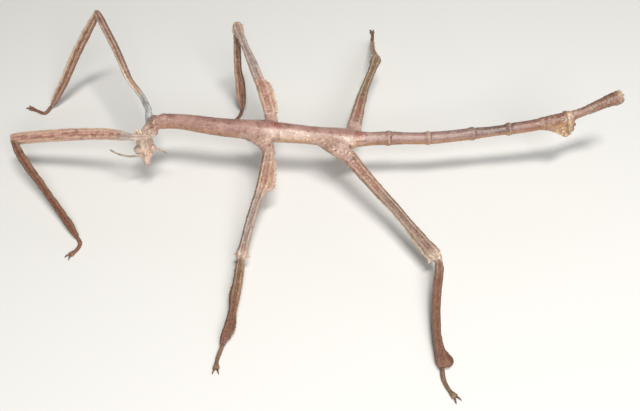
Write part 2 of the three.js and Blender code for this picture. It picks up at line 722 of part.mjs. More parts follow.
// Two claws that part from one root at the tip of a foot.
function clawPair(path) {
  const tip = path[path.length - 1];
  const along = tip.clone().sub(path[path.length - 2]).setZ(0).normalize();
  const across = along.clone().cross(UP);
  const root = tip.clone().addScaledVector(along, GAP).setZ(CLAW.root);
  const claws = [-1, 1].map((side) => {
    const bend = root.clone()
      .addScaledVector(along, CLAW.length * 0.5)
      .addScaledVector(across, side * CLAW.spread * 0.8)
      .setZ(CLAW.root + CLAW.rise * 0.5);
    const end = root.clone()
      .addScaledVector(along, CLAW.length * 0.95)
      .addScaledVector(across, side * CLAW.spread * 1.3)
      .setZ(CLAW.end);
    const start = root.clone().addScaledVector(across, side * 0.1);
    return spike([start, bend, end], CLAW.base, CLAW.tip, { sides: 5, rings: 4, floor: CLAW.floor });
  });
  return claws[0].add(claws[1]);
}

// Legs, from the body outwards: each piece is cut clear of the one that carries it.
const carriers = {
  fore: [grownNeck, grownMesothorax, grownHead],
  mid: [grownMesothorax, trunkPiece(METATHORAX, { grow: GAP })],
  hind: [trunkPiece(METATHORAX, { grow: GAP }), trunkPiece(abdomen[0].rings, { grow: GAP })],
};
for (const leg of LEGS) {
  const towardHead = leg.name.endsWith('left') ? 1 : -1;
  const hipOptions = { rings: 5, towardHead };
  const thighOptions = { rings: 9, towardHead, front: leg.thighFront, back: leg.thighBack };
  const shinOptions = { rings: 9, towardHead, front: leg.shinFront, back: leg.shinBack, floor: 0.3 };
  const grown = (options) => ({ ...options, grow: GAP });
  const hip = cutBy(limb(leg.hip, leg.hipSize, hipOptions), ...carriers[leg.name.split('_')[0]]);
  const thigh = cutBy(
    limb(leg.thigh, leg.thighSize, thighOptions),
    limb(leg.hip, leg.hipSize, grown(hipOptions)),
  );
  const shin = cutBy(
    limb(leg.shin, leg.shinSize, shinOptions),
    limb(leg.thigh, leg.thighSize, grown(thighOptions)),
  );
  const foot = cutBy(
    limb(leg.foot, FOOT, { rings: 2, towardHead, face: UP }),
    limb(leg.shin, leg.shinSize, grown(shinOptions)),
  );
  const fore = leg.name.startsWith('fore');
  place(`${leg.name}_coxa`, hip, 'thorax');
  place(`${leg.name}_femur`, thigh, fore ? 'foreLeg' : 'leg');
  place(`${leg.name}_tibia`, shin, fore ? 'foreLeg' : 'leg');
  place(`${leg.name}_tarsus`, foot, 'foot');
  place(`${leg.name}_claws`, clawPair(leg.foot), 'claw');
}

export default insect;
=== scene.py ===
# %% [markdown]
# # A giant stick insect, life size
#
# A giant stick insect is a twig that walks: a long tube of a body, a small head bent down, and six
# ribbed legs with ragged lobes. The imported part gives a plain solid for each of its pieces. Here one
# continuous skin is made over all of them, with eyes, claws and feelers as pieces of their own.
#
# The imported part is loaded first. It is the frame, so everything below has to fit it.

import math
import random

import bmesh
import bpy
import numpy as np
from mathutils import Matrix, Vector, kdtree, noise


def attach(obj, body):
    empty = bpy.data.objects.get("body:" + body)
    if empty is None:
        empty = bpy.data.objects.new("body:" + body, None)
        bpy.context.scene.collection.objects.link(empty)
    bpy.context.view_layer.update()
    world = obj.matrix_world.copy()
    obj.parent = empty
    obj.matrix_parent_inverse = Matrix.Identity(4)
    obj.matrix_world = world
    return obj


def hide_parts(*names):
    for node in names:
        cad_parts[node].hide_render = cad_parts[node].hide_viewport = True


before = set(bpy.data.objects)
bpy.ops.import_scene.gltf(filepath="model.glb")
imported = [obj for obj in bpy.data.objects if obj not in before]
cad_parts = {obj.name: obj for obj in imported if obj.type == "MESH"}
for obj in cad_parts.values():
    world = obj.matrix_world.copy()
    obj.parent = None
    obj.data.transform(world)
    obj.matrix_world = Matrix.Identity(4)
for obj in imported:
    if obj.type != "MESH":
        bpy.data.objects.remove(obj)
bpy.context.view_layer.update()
print("nodes in the frame:", len(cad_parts))

# %% [markdown]
# ## Camera, floor and light
#
# The animal is seen from its left and from above, at 49 degrees. A camera is turned up from looking
# straight down, so it gets what is left of 90 degrees. The insect is small, so the near clipping
# distance has to be small too.

# %% Camera
VIEW_ELEVATION = math.radians(49)
CAMERA_PLACE = (0.005573, -0.149945, 0.15783)
SENSOR_WIDTH, LENS = 36, 39.375
CLIP_START, CLIP_END = 0.005, 20

scene = bpy.context.scene
camera_data = bpy.data.cameras.new("camera")
camera_data.sensor_fit = "HORIZONTAL"
camera_data.sensor_width = SENSOR_WIDTH
camera_data.lens = LENS
camera_data.clip_start, camera_data.clip_end = CLIP_START, CLIP_END
camera = bpy.data.objects.new("camera", camera_data)
camera.location = CAMERA_PLACE
camera.rotation_euler = (math.pi / 2 - VIEW_ELEVATION, 0, 0)
scene.collection.objects.link(camera)
scene.camera = camera
scene.view_settings.view_transform = "Standard"
print("lens", camera_data.lens, "mm")

# %% [markdown]
# ## Colours and plain materials
#
# Colours are easiest to choose as they look on a screen, while shaders reckon in linear light. One
# helper converts them, and another starts a material with a plain colour and a roughness.

# %% Colours and plain materials
def linear(red, green, blue):
    """A colour given as screen values from 0 to 255, as the linear colour that shaders use."""
    values = [v / 255 for v in (red, green, blue)]
    return tuple(v / 12.92 if v <= 0.04045 else ((v + 0.055) / 1.055) ** 2.4 for v in values) + (1,)


def simple_material(name, colour, roughness):
    material = bpy.data.materials.new(name)
    material.use_nodes = True
    shader = material.node_tree.nodes["Principled BSDF"]
    shader.inputs["Base Color"].default_value = colour
    shader.inputs["Roughness"].default_value = roughness
    return material


FLOOR_SIZE = 3
floor_bm = bmesh.new()
bmesh.ops.create_grid(floor_bm, x_segments=1, y_segments=1, size=FLOOR_SIZE)
floor_mesh = bpy.data.meshes.new("floor")
floor_bm.to_mesh(floor_mesh)
floor_bm.free()
floor_mesh.materials.append(simple_material("pale floor", linear(226, 224, 219), 0.8))
floor = bpy.data.objects.new("floor", floor_mesh)
scene.collection.objects.link(floor)
print("floor", 2 * FLOOR_SIZE, "m wide")

# %% [markdown]
# Soft light comes from area lights: a long key almost overhead, which draws the highlight along the
# glossy back, a broad fill in front, on the camera's right, and a weak one behind. A pale world fills
# the shadows.

# %% Lights
LIGHTS = {
    # place, width, height, watts, colour
    "key": ((0.08, -0.15, 0.6), 0.24, 0.09, 2.6, (1, 0.985, 0.96)),
    "fill": ((0.16, -0.45, 0.42), 0.32, 0.32, 2.7, (1, 1, 1)),
    "rim": ((0.35, 0.5, 0.3), 0.4, 0.3, 0.4, (0.94, 0.97, 1)),
}
LIGHTS_AIM = Vector((0, 0, 0.012))
WORLD_STRENGTH = 0.15

for name, (place, width, height, power, colour) in LIGHTS.items():
    light_data = bpy.data.lights.new(name, "AREA")
    light_data.shape = "RECTANGLE"
    light_data.size, light_data.size_y = width, height
    light_data.energy = power
    light_data.color = colour
    light = bpy.data.objects.new(name, light_data)
    light.location = place
    light.rotation_euler = (Vector(place) - LIGHTS_AIM).to_track_quat("Z", "Y").to_euler()
    scene.collection.objects.link(light)

world = bpy.data.worlds.new("studio")
world.use_nodes = True
backdrop = world.node_tree.nodes["Background"].inputs
backdrop["Color"].default_value = linear(225, 230, 236)
backdrop["Strength"].default_value = WORLD_STRENGTH
scene.world = world
print("lights:", ", ".join(LIGHTS))

# %% [markdown]
# ## The animal's layout
#
# The layout is written in millimetres, which suit something this small: the body's centre line, the
# sizes along it, and for every leg a chain of points through hip, thigh, shin and foot. One shift
# puts the middle of the footprint on the origin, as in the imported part.

# %% Layout of the trunk
MILLIMETRE = 0.001
FOOTPRINT = np.array((8.493, -0.545, 0))
UP = np.array((0, 0, 1.0))

SPINE = [
    (-50.5, 4.2, 19), (-44, 4.1, 18.8), (-32, 2.4, 18.2), (-18, 1.5, 17.4), (-6, 0.6, 16.7),
    (5.3, -0.5, 16.2), (17.6, 0.1, 15.9), (29.3, 0.2, 15.9), (42.4, 1.6, 16.4), (53, 2.6, 17.3),
    (62.8, 3.6, 18.6), (70.6, 4.9, 20.2), (76.5, 6.6, 21.7), (81.4, 8.3, 23), (85.3, 8.9, 24.4),
]
# Thorax rings: x along the body, half width, half height.
THORAX = [
    (-50.2, 1.9, 1.9), (-49.7, 2.3, 2.3), (-48.6, 2.3, 2.3), (-48, 2.15, 2.2), (-44, 2.2, 2.25),
    (-39, 2.45, 2.5), (-33, 2.6, 2.65), (-27, 2.75, 2.8), (-22.5, 3.1, 2.95), (-19, 3.5, 3),
    (-16.8, 3.3, 3.0), (-15.7, 3.05, 2.95), (-15.25, 2.95, 2.85), (-14.8, 3.0, 2.95),
    (-12, 2.85, 2.85), (-9, 2.75, 2.75), (-6, 2.7, 2.65), (-3, 2.8, 2.68), (1, 3.2, 2.85), (4.5, 3.5, 2.9),
    (6.6, 3, 2.65), (7.6, 2.5, 2.4), (7.8, 2.38, 2.3),
]
# Abdomen rings: x of the rear rim, radius in front, at the waist and at the rim.
ABDOMEN_FRONT = 8.05
ABDOMEN = [
    (17.6, 2.3, 1.95, 2.3), (29.3, 2.0, 1.75, 2.05), (42.4, 1.85, 1.75, 2.0), (53, 1.7, 1.5, 1.95),
    (62.8, 1.7, 1.7, 1.95), (70.6, 1.9, 1.8, 1.75), (76.5, 1.35, 1.3, 1.55), (81.4, 1.5, 1.6, 1.9),
    (85.2, 1.85, 2.0, 1.7),
]
LOBE = {"from": 62, "peak": 68.9, "to": 71.6, "depth": 4.4, "lean": 0.35}
JOINTS = [-15.25, 7.75] + [rear + 0.15 for rear, *_ in ABDOMEN[:-1]]

NECK = ((-50.6, 4.2, 19), (-54.4, 1.5, 16.1))
NECK_RINGS = [(0, 1.9, 1.9), (0.3, 2.05, 2), (0.65, 1.95, 1.9), (1, 1.55, 1.5)]
HEAD = ((-54.7, 1.5, 16.4), (-53.8, -4.9, 10.1))
HEAD_RINGS = [
    (0, 1.35, 1.3), (0.1, 1.8, 1.8), (0.28, 2.5, 2.15), (0.46, 2.6, 2.15), (0.62, 2.25, 1.95),
    (0.76, 1.5, 1.6), (0.88, 0.98, 1.15), (1, 0.6, 0.65),
]
print("abdomen rings:", len(ABDOMEN), "joints:", len(JOINTS))

# %% [markdown]
# A leg has a broad face, which looks up and to the animal's left, and two narrow edges, a front one
# towards the head and a rear one. A size table gives, for places from 0 to 1, the half width across
# the broad face and the half thickness.

# %% Sizes of the legs
BROAD_FACE = np.array((0, -0.66, 0.75))
BROAD_FACE /= np.linalg.norm(BROAD_FACE)

HIP = {
    "fore": [(0, 1.5, 1.4), (0.35, 1.35, 1.25), (0.75, 1.15, 1.05), (1, 0.95, 0.9)],
    "mid_left": [(0, 1.4, 1.5), (0.4, 1.9, 1.6), (0.75, 2.1, 1.5), (1, 1.95, 1.3)],
    "mid_right": [(0, 1.9, 1.5), (0.5, 2, 1.4), (1, 1.95, 1.25)],
    "hind_left": [(0, 1.4, 1.6), (0.4, 2, 1.6), (0.75, 2.3, 1.5), (1, 2.2, 1.35)],
    "hind_right": [(0, 2.3, 1.6), (0.5, 2.35, 1.5), (1, 2.25, 1.35)],
}
THIGH = {
    "fore_left": [
        (0, 0.95, 0.85), (0.08, 0.95, 0.85), (0.14, 1.2, 0.85), (0.2, 1.6, 0.9), (0.3, 1.75, 0.95),
        (0.6, 1.9, 1), (0.88, 1.88, 1), (0.97, 1.85, 1.05), (1, 1.6, 0.9),
    ],
    "fore_right": [
        (0, 0.95, 0.9), (0.25, 0.95, 1), (0.34, 1.05, 1.5), (0.6, 1.1, 1.7), (0.92, 1.15, 1.6),
        (0.97, 1.1, 1.4), (1, 0.8, 0.9),
    ],
    "mid_left": [
        (0, 1.85, 1.25), (0.12, 1.67, 1.25), (0.35, 1.6, 1.15), (0.6, 1.5, 1.1), (0.72, 1.38, 1.05),
        (0.85, 1.42, 1.05), (0.95, 1.5, 1.1), (1, 1.15, 0.9),
    ],
    "mid_right": [
        (0, 1.95, 1.25), (0.2, 1.9, 1.2), (0.32, 1.75, 1.15), (0.55, 1.62, 1.1), (0.7, 1.3, 1.05),
        (0.86, 1.3, 1.05), (0.95, 1.5, 1.1), (1, 1.1, 0.9),
    ],
    "hind_left": [
        (0, 2.2, 1.35), (0.1, 1.93, 1.3), (0.2, 1.82, 1.25), (0.35, 1.72, 1.25), (0.5, 1.6, 1.25),
        (0.85, 1.55, 1.2), (0.96, 1.6, 1.2), (1, 1.2, 0.9),
    ],
    "hind_right": [
        (0, 2.25, 1.35), (0.1, 2.05, 1.3), (0.25, 1.82, 1.25), (0.4, 1.6, 1.2), (0.55, 1.36, 1.2),
        (0.85, 1.38, 1.2), (0.95, 1.6, 1.2), (1, 1.2, 0.9),
    ],
}
SHIN = {
    "fore_left": [
        (0, 0.9, 0.8), (0.06, 1.15, 0.9), (0.2, 1.3, 0.9), (0.4, 1.15, 0.88), (0.6, 1.05, 0.85),
        (0.8, 1.1, 0.85), (0.93, 1.15, 0.85), (1, 0.8, 0.7),
    ],
    "fore_right": [
        (0, 0.95, 0.8), (0.08, 1.25, 0.9), (0.25, 1.48, 0.9), (0.6, 1.5, 0.9), (0.82, 1.4, 0.85),
        (0.94, 1.2, 0.85), (1, 0.85, 0.7),
    ],
    "mid_left": [
        (0, 0.95, 0.85), (0.08, 1.3, 1), (0.25, 1.38, 1), (0.5, 1.28, 1), (0.65, 1.12, 0.95),
        (0.85, 1.2, 0.9), (0.96, 1.1, 0.85), (1, 0.8, 0.7),
    ],
    "mid_right": [
        (0, 0.95, 0.85), (0.1, 1.2, 1), (0.5, 1.3, 1), (0.7, 1.65, 1), (0.85, 1.6, 0.9), (0.96, 1.2, 0.85),
        (1, 0.75, 0.7),
    ],
    "hind_left": [
        (0, 1, 0.85), (0.08, 1.28, 1), (0.25, 1.28, 1), (0.5, 1.18, 1), (0.72, 1.13, 0.92),
        (0.88, 1.35, 0.9), (0.96, 1.45, 0.85), (1, 1.05, 0.7),
    ],
    "hind_right": [
        (0, 0.85, 0.85), (0.1, 0.95, 1), (0.5, 0.85, 1), (0.85, 0.8, 0.9), (0.96, 0.8, 0.85),
        (1, 0.65, 0.7),
    ],
}
FOOT = [
    (0, 0.5, 0.45), (0.1, 0.55, 0.5), (0.34, 0.62, 0.52), (0.39, 0.7, 0.55), (0.43, 0.52, 0.45),
    (0.53, 0.65, 0.55), (0.57, 0.5, 0.45), (0.65, 0.62, 0.52), (0.69, 0.48, 0.44), (0.76, 0.6, 0.52),
    (0.8, 0.5, 0.46), (0.88, 0.74, 0.5), (0.96, 0.9, 0.5), (1, 0.75, 0.42),
]
print("sizes for", len(THIGH), "thighs and", len(SHIN), "shins")

# %% [markdown]
# Each leg's line runs through hip, thigh, shin and foot, from the trunk to the claws. A flange is a
# thin crest on an edge, first the front ones and then the rear ones: its start, its peak, its end and
# its height. The shins of the fore legs have a wavy rear edge, which is a row of low flanges.

# %% Lines of the legs
WAVY_EDGE = [(at - 0.05, at, at + 0.05, 0.2) for at in (0.1, 0.21, 0.32, 0.43, 0.54, 0.65, 0.76, 0.87)]

LEGS = {
    "fore_left": {
        "hip": [(-51.4, 1.2, 17.7), (-51.9, -1.6, 18.9), (-52.2, -3, 19.4)],
        "thigh": [
            (-52.6, -3.5, 19.7), (-57, -3.1, 19.4), (-60.3, -1.6, 18.6), (-65.5, 0.1, 17.6),
            (-74, 1.6, 16.1), (-82.5, 2.7, 14.5), (-91, 3.7, 12.7), (-95.4, 4, 11.8),
        ],
        "shin": [
            (-94.9, 3.3, 11.6), (-93.2, 0.2, 10.3), (-91, -2.6, 9), (-88.8, -5.3, 7.8), (-86.4, -7.9, 6.7),
            (-81.8, -13.4, 4.8), (-77.1, -19, 3.3), (-72.5, -24.8, 1.7),
        ],
        "foot": [(-72.4, -25, 1.1), (-71.2, -26.8, 0.45), (-71.5, -28.9, 0.4), (-72.9, -30.8, 0.4)],
        "flanges": {"shin": ([], WAVY_EDGE)},
    },
    "fore_right": {
        "hip": [(-52.8, 4.4, 18), (-53.2, 5.6, 19.4), (-53.4, 6.6, 20.2)],
        "thigh": [
            (-53.6, 7.6, 20.8), (-56.1, 11.9, 22.3), (-59.8, 16.3, 24.2), (-62, 20.4, 25.5),
            (-63.7, 23.9, 26.6), (-65.4, 27.3, 27.6), (-67.2, 30.5, 28.6), (-70.1, 35.6, 30.1),
            (-73, 40.8, 31.5),
        ],
        "shin": [
            (-73.1, 40.7, 31.2), (-79.5, 39.3, 22.2), (-84.1, 37.6, 15.4), (-88.1, 34.8, 8.9),
            (-90.2, 33.5, 6), (-93.3, 31.6, 1.7),
        ],
        "foot": [(-93.8, 31.4, 1.1), (-95.4, 28.6, 0.45), (-98.4, 29.8, 0.4), (-100.8, 31.1, 0.4)],
        "flanges": {"shin": ([], WAVY_EDGE)},
    },
    "mid_left": {
        "hip": [(-25.2, 1, 16.6), (-20.1, -1.3, 16.3), (-18.4, -3.2, 15.8), (-17.8, -5.1, 15.2)],
        "thigh": [
            (-17.8, -5.9, 15), (-18.3, -8.8, 13.7), (-18.9, -11.7, 12.4), (-19.5, -14.5, 11.2),
            (-20.2, -17.4, 10.1), (-21.5, -21.8, 8.8), (-22.6, -26.3, 7.5), (-23.5, -30.9, 6.2),
            (-24.3, -35.4, 5),
        ],
        "shin": [(-24.4, -35.8, 5), (-24.8, -43.1, 4), (-25.8, -52.1, 2.6), (-27.5, -59.7, 1.7)],
        "foot": [(-27.6, -60.2, 1.1), (-28.3, -62.1, 0.45), (-28.7, -64.1, 0.4), (-28.7, -65.9, 0.4)],
        "flanges": {
            "thigh": ([(0.92, 0.985, 1.05, 0.5)], [(0.03, 0.27, 0.345, 2.15), (0.92, 0.985, 1.05, 0.5)]),
            "shin": ([(0.32, 0.43, 0.56, 0.55)], [(0.66, 0.84, 0.95, 0.8)]),
        },
    },
    "mid_right": {
        "hip": [(-17.1, 3.9, 16.9), (-17.4, 6.3, 17.3), (-17.7, 7.7, 17.8)],
        "thigh": [
            (-17.8, 8.6, 18.1), (-19.2, 13.4, 19.4), (-20.7, 18.1, 20.6), (-22.5, 22.6, 22),
            (-24.3, 27.1, 23.5), (-26.9, 33, 25.8), (-28.1, 36.1, 27), (-29.2, 39.2, 28.2),
        ],
        "shin": [
            (-29.2, 39.1, 28), (-29.7, 35.6, 17.4), (-29.7, 34.2, 13.5), (-29.2, 32.8, 9.5),
            (-29.1, 31.3, 5.6), (-29.1, 29.8, 1.7),
        ],
        "foot": [(-29.1, 29.4, 1.1), (-29.7, 27.4, 0.45), (-30.5, 25.9, 0.4), (-31.3, 24.5, 0.4)],
        "flanges": {
            "thigh": ([(0.86, 0.94, 1.02, 0.7)], [(-0.1, 0.27, 0.345, 1.25), (0.9, 0.985, 1.06, 0.4)]),
            "shin": ([], [(0.66, 0.84, 0.95, 0.4)]),
        },
    },
    "hind_left": {
        "hip": [(-4.1, -0.3, 16), (0.3, -3, 15.6), (3.2, -4.6, 15), (5.3, -6, 14.4)],
        "thigh": [
            (5.9, -6.5, 14.1), (9.2, -10.8, 12.8), (13.7, -16.5, 11.1), (17.6, -21.2, 9.8),
            (20.9, -25.9, 8.8), (24.4, -30.5, 7.8), (28.8, -36.9, 6.5),
        ],
        "shin": [
            (28.9, -37.4, 6.4), (28.8, -40.3, 5.8), (28, -44.5, 5), (27.3, -48.8, 4.1), (26.9, -53.1, 3.4),
            (26.7, -57.5, 2.8), (27, -61.8, 2.2), (27.2, -66.2, 1.7),
        ],
        "foot": [(27.3, -66.6, 1.1), (27.4, -69.1, 0.45), (28.3, -71.7, 0.4), (29.5, -73.5, 0.4)],
        "flanges": {"thigh": ([(0.68, 0.92, 1, 1.1)], [(0.86, 0.95, 1, 0.5)]),
                    "shin": ([], [(0.86, 0.94, 1.0, 1.5)])},
    },
    "hind_right": {
        "hip": [(6.9, 1.3, 16.1), (7.1, 3.5, 16), (7.3, 5.3, 15.9)],
        "thigh": [
            (7.4, 6.2, 15.8), (8.5, 11.9, 15.2), (9.6, 17.5, 14.6), (10.8, 23.1, 14), (12.2, 28.6, 13.5),
            (14.3, 36.1, 12.7), (16.3, 43.7, 12),
        ],
        "shin": [(16.2, 44.1, 11.8), (15.7, 50.6, 9), (16, 59.4, 5), (16.5, 66.4, 1.7)],
        "foot": [(16.5, 67.2, 1.1), (16.8, 70.4, 0.45), (17, 72.7, 0.4), (16.9, 74.7, 0.4)],
        "flanges": {"thigh": ([(0.86, 0.93, 1, 0.5)], [(0.86, 0.95, 1, 0.4)])},
    },
}
print("legs:", ", ".join(LEGS))

# %% [markdown]
# ## Courses
#
# A course is a smooth centre line that knows three directions at every place: along it, across its
# broad face, and out of that face. The points are joined by a centripetal curve, which is the kind that
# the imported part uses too, so both follow the same line.

# %% Courses
def smooth_path(points, per_span=40):
    """Closely spaced points on a centripetal curve through the given ones."""
    p = np.array(points, float)
    p = np.vstack([2 * p[0] - p[1], p, 2 * p[-1] - p[-2]])
    share = np.linspace(0, 1, per_span, endpoint=False)[:, None]
    spans = []
    for a, b, c, d in zip(p, p[1:], p[2:], p[3:]):
        before, here, after = (np.linalg.norm(step) ** 0.5 for step in (b - a, c - b, d - c))
        start = ((b - a) / before - (c - a) / (before + here) + (c - b) / here) * here
        end = ((c - b) / here - (d - b) / (here + after) + (d - c) / after) * here
        spans.append(b + start * share + (-3 * b + 3 * c - 2 * start - end) * share**2
                     + (2 * b - 2 * c + start + end) * share**3)
    return np.vstack(spans + [p[-2][None]])


def run_along(path):
    """The length of the way from the start of a path to each of its points."""
    return np.concatenate([[0], np.cumsum(np.linalg.norm(np.diff(path, axis=0), axis=1))])


def sampled(path, run, stops):
    """The centre and the way along a path at some stops, where run belongs to the path's points."""
    centre = np.column_stack([np.interp(stops, run, path[:, k]) for k in range(3)])
    return centre, unit(np.gradient(centre, axis=0))


def unit(vectors):
    return vectors / np.linalg.norm(vectors, axis=-1, keepdims=True)


class Course:
    """A smooth centre line, sampled evenly, with its three directions at each sample."""

    SPACING = 0.3

    def __init__(self, points, face=None):
        path = smooth_path(np.array(points, float) + FOOTPRINT)
        run = run_along(path)
        self.length = run[-1]
        self.run = np.linspace(0, self.length, max(4, round(self.length / self.SPACING) + 1))
        self.centre, self.along = sampled(path, run, self.run)
        if face is None:
            self.across = unit(np.cross(UP, self.along))
            self.out = np.cross(self.along, self.across)
        else:
            self.across = unit(np.cross(self.along, face))
            self.out = np.cross(self.across, self.along)

    def at(self, place):
        """Centre, along, across and out at a place; outside 0 to 1 the line goes straight on."""
        run = place * self.length
        values = [np.array([np.interp(run, self.run, field[:, k]) for k in range(3)])
                  for field in (self.centre, self.along, self.across, self.out)]
        values[0] = values[0] + values[1] * (run - min(max(run, 0), self.length))
        return values

    def place_of_x(self, x):
        return np.interp(x + FOOTPRINT[0], self.centre[:, 0], self.run) / self.length


trunk = Course(SPINE)
print("trunk", round(trunk.length), "mm")

# %% [markdown]
# ## Rolling tubes
#
# Every part of the body is a tube, so one tool makes them all: a flat grid is made, its columns are
# wrapped round into rings, the seam is welded and both ends are filled. Starting from a grid
# means that Blender makes the faces, and only the places of the points have to be worked out.

# %% Tube tool
WELD_DISTANCE = 1e-6


def roll_tube(bm, rings):
    """A grid rolled into a closed tube through rings of equal counts of points."""
    rings = np.asarray(rings)
    count, sides = rings.shape[:2]
    sheet = bmesh.ops.create_grid(bm, x_segments=sides, y_segments=count - 1, size=1)["verts"]
    for i, vert in enumerate(sheet):
        row, column = divmod(i, sides + 1)
        vert.co = rings[row, column % sides]
    bmesh.ops.remove_doubles(bm, verts=sheet, dist=WELD_DISTANCE)
    sheet = [vert for vert in sheet if vert.is_valid]
    rims = {edge for vert in sheet for edge in vert.link_edges if edge.is_boundary}
    bmesh.ops.holes_fill(bm, edges=list(rims), sides=0)
    return sheet


def size_at(table, place):
    """The sizes in a table's rows at a place, or at many."""
    table = np.array(table)
    return [np.interp(place, table[:, 0], table[:, k]) for k in range(1, table.shape[1])]


skin_bm = bmesh.new()
print("ready to roll tubes")

# %% [markdown]
# ## Trunk
#
# The thorax swells where the middle and hind legs leave it. The abdomen is a row of nine rings, each a
# slim tube that flares to a rim, with a narrow groove behind it. Under the seventh ring hangs the
# grasping lobe with which the female holds a twig while she lays.

# %% Trunk
TRUNK_SIDES, TRUNK_STEP = 44, 0.25
LOBE_FRONT_POWER, LOBE_REAR_POWER, LOBE_KEEL, LOBE_NARROWING = 1.25, 0.45, 2.5, 0.12


def abdomen_table():
    """The abdomen's radii along x, from the front and rear sizes of its rings."""
    rows = []
    front = ABDOMEN_FRONT
    for rear, front_radius, waist, rim in ABDOMEN:
        length = rear - front
        rows += [(front + at * length, radius, radius) for at, radius in (
            (0, front_radius * 0.96), (0.05, front_radius), (0.4, waist), (0.84, waist * 1.01),
            (0.94, rim), (0.985, rim * 0.99), (1, rim * 0.93))]
        front = rear + 0.3
    return rows


def lobe_depth(x):
    if not LOBE["from"] < x < LOBE["to"]:
        return 0
    if x < LOBE["peak"]:
        return LOBE["depth"] * ((x - LOBE["from"]) / (LOBE["peak"] - LOBE["from"])) ** LOBE_FRONT_POWER
    return LOBE["depth"] * ((LOBE["to"] - x) / (LOBE["to"] - LOBE["peak"])) ** LOBE_REAR_POWER


def trunk_ring(x, table):
    half_width, half_height = size_at(table, x)
    centre, _, across, out = trunk.at(trunk.place_of_x(x))
    ring = []
    for k in range(TRUNK_SIDES):
        angle = (k + 0.5) / TRUNK_SIDES * 2 * math.pi
        drop = lobe_depth(x) * max(0, -math.sin(angle)) ** LOBE_KEEL
        narrow = 1 - LOBE_NARROWING * min(1, drop)
        ring.append(centre + across * (math.cos(angle) * half_width * narrow - LOBE["lean"] * drop)
                    + out * (math.sin(angle) * half_height - drop))
    return ring


TRUNK_TABLE = THORAX + abdomen_table()
trunk_stops = np.arange(TRUNK_TABLE[0][0], TRUNK_TABLE[-1][0] + 0.01, TRUNK_STEP)
roll_tube(skin_bm, [trunk_ring(x, TRUNK_TABLE) for x in trunk_stops])
print("trunk rings:", len(trunk_stops))

# %% [markdown]
# ## Legs
#
# The legs are not round. Each is a bundle of long ribs, which is what makes it look like a
# dry twig. The section is drawn once for a quarter, from the middle of the narrow edge to the
# middle of the broad face, and mirrored twice. Ribs stand at the corners, with shallow troughs between.

# %% Leg section
RIBBED_QUARTER = [
    (0.84, 0.0), (0.93, 0.2), (1.0, 0.42), (0.82, 0.48), (0.68, 0.72), (0.54, 1.0), (0.36, 0.82),
    (0.18, 0.7), (0.0, 0.84),
]


def mirrored(quarter):
    """A full section from one quarter of it."""
    back = [(-a, b) for a, b in quarter[-2::-1]]
    lower = [(-a, -b) for a, b in quarter[1:]]
    front = [(a, -b) for a, b in quarter[-2:0:-1]]
    return np.array(quarter + back + lower + front)


RIBBED = mirrored(RIBBED_QUARTER)
ROUND = unit(RIBBED)
print("points round a leg:", len(RIBBED))

# %% [markdown]
# A ring of a leg mixes the ribbed section with a round one, is pushed out on the edges where there is
# a flange, and is drawn thin there. Rings never go below the floor. The parts of a leg overlap a
# little, so that they melt together later.

# %% Leg tubes
RING_STEP, FLANGE_THIN, FULL_FLANGE = 0.3, 0.27, 0.8
PARTS = {
    "hip": {"ribs": 0.25, "overlap": (0.6, 0.9), "floor": 0},
    "thigh": {"ribs": 1, "overlap": (0.5, 0.5), "floor": 0},
    "shin": {"ribs": 1, "overlap": (0.9, 0.35), "floor": 0.3},
    "foot": {"ribs": 0, "overlap": (0.5, 0), "floor": 0},
}


def flange_height(flanges, place):
    """The height of the flanges of an edge at one place, or at many."""
    height = np.zeros(np.shape(place))
    for start, peak, end, full in flanges:
        share = np.minimum((place - start) / (peak - start), (end - place) / (end - peak))
        height = np.maximum(height, full * np.sqrt(np.clip(share, 0, 1)))
    return height


def leg_ring(course, place, table, ribs, flanges, toward_head, floor_height):
    centre, _, across, out = course.at(place)
    half_width, half_depth = size_at(table, place)
    section = RIBBED * ribs + ROUND * (1 - ribs)
    ring = []
    for a, b in section:
        flange = flange_height(flanges[0] if a * toward_head > 0 else flanges[1], place)
        outer = max(0, abs(a) - 0.5) * 2
        reach = abs(a) * half_width + flange * (0.6 * abs(a) + 0.4 * outer**1.5)
        depth = abs(b) * half_depth
        thinning = min(1, flange / FULL_FLANGE) * min(1, outer * 1.25)
        depth = depth * (1 - thinning) + min(depth, max(FLANGE_THIN, 0.3 * half_depth)) * thinning
        spot = centre + across * math.copysign(reach, a) + out * math.copysign(depth, b)
        spot[2] = max(floor_height, spot[2])
        ring.append(spot)
    return ring


def leg_table(name, part):
    if part == "hip":
        return HIP.get(name) or HIP["fore"]
    return {"thigh": THIGH, "shin": SHIN}[part][name] if part != "foot" else FOOT


def head_side(name):
    """1 where a leg's across direction points to the head, as on the left, or else -1."""
    return 1 if name.endswith("left") else -1


courses = {"trunk": trunk}
for name, leg in LEGS.items():
    for part, how in PARTS.items():
        course = Course(leg[part], UP if part == "foot" else BROAD_FACE)
        courses[f"{name}_{part}"] = course
        flanges = leg["flanges"].get(part, ([], []))
        first = -how["overlap"][0] / course.length
        last = 1 + how["overlap"][1] / course.length
        stops = np.linspace(first, last, round((last - first) * course.length / RING_STEP))
        roll_tube(skin_bm, [
            leg_ring(course, place, leg_table(name, part), how["ribs"], flanges, head_side(name),
                     how["floor"])
            for place in stops])
print("courses:", len(courses), "points so far:", len(skin_bm.verts))

# %% [markdown]
# ## Neck and head
#
# The neck is a short collar. The head is longer than wide and bent down, so from above one looks
# straight on its crown. It is rolled as one tube too, and then gets what a face is made of: spines
# across the back of the crown, two low brow ridges between the eyes, a thick rim round each eye, the
# sockets of the feelers, jaws, an upper lip and four small palps.

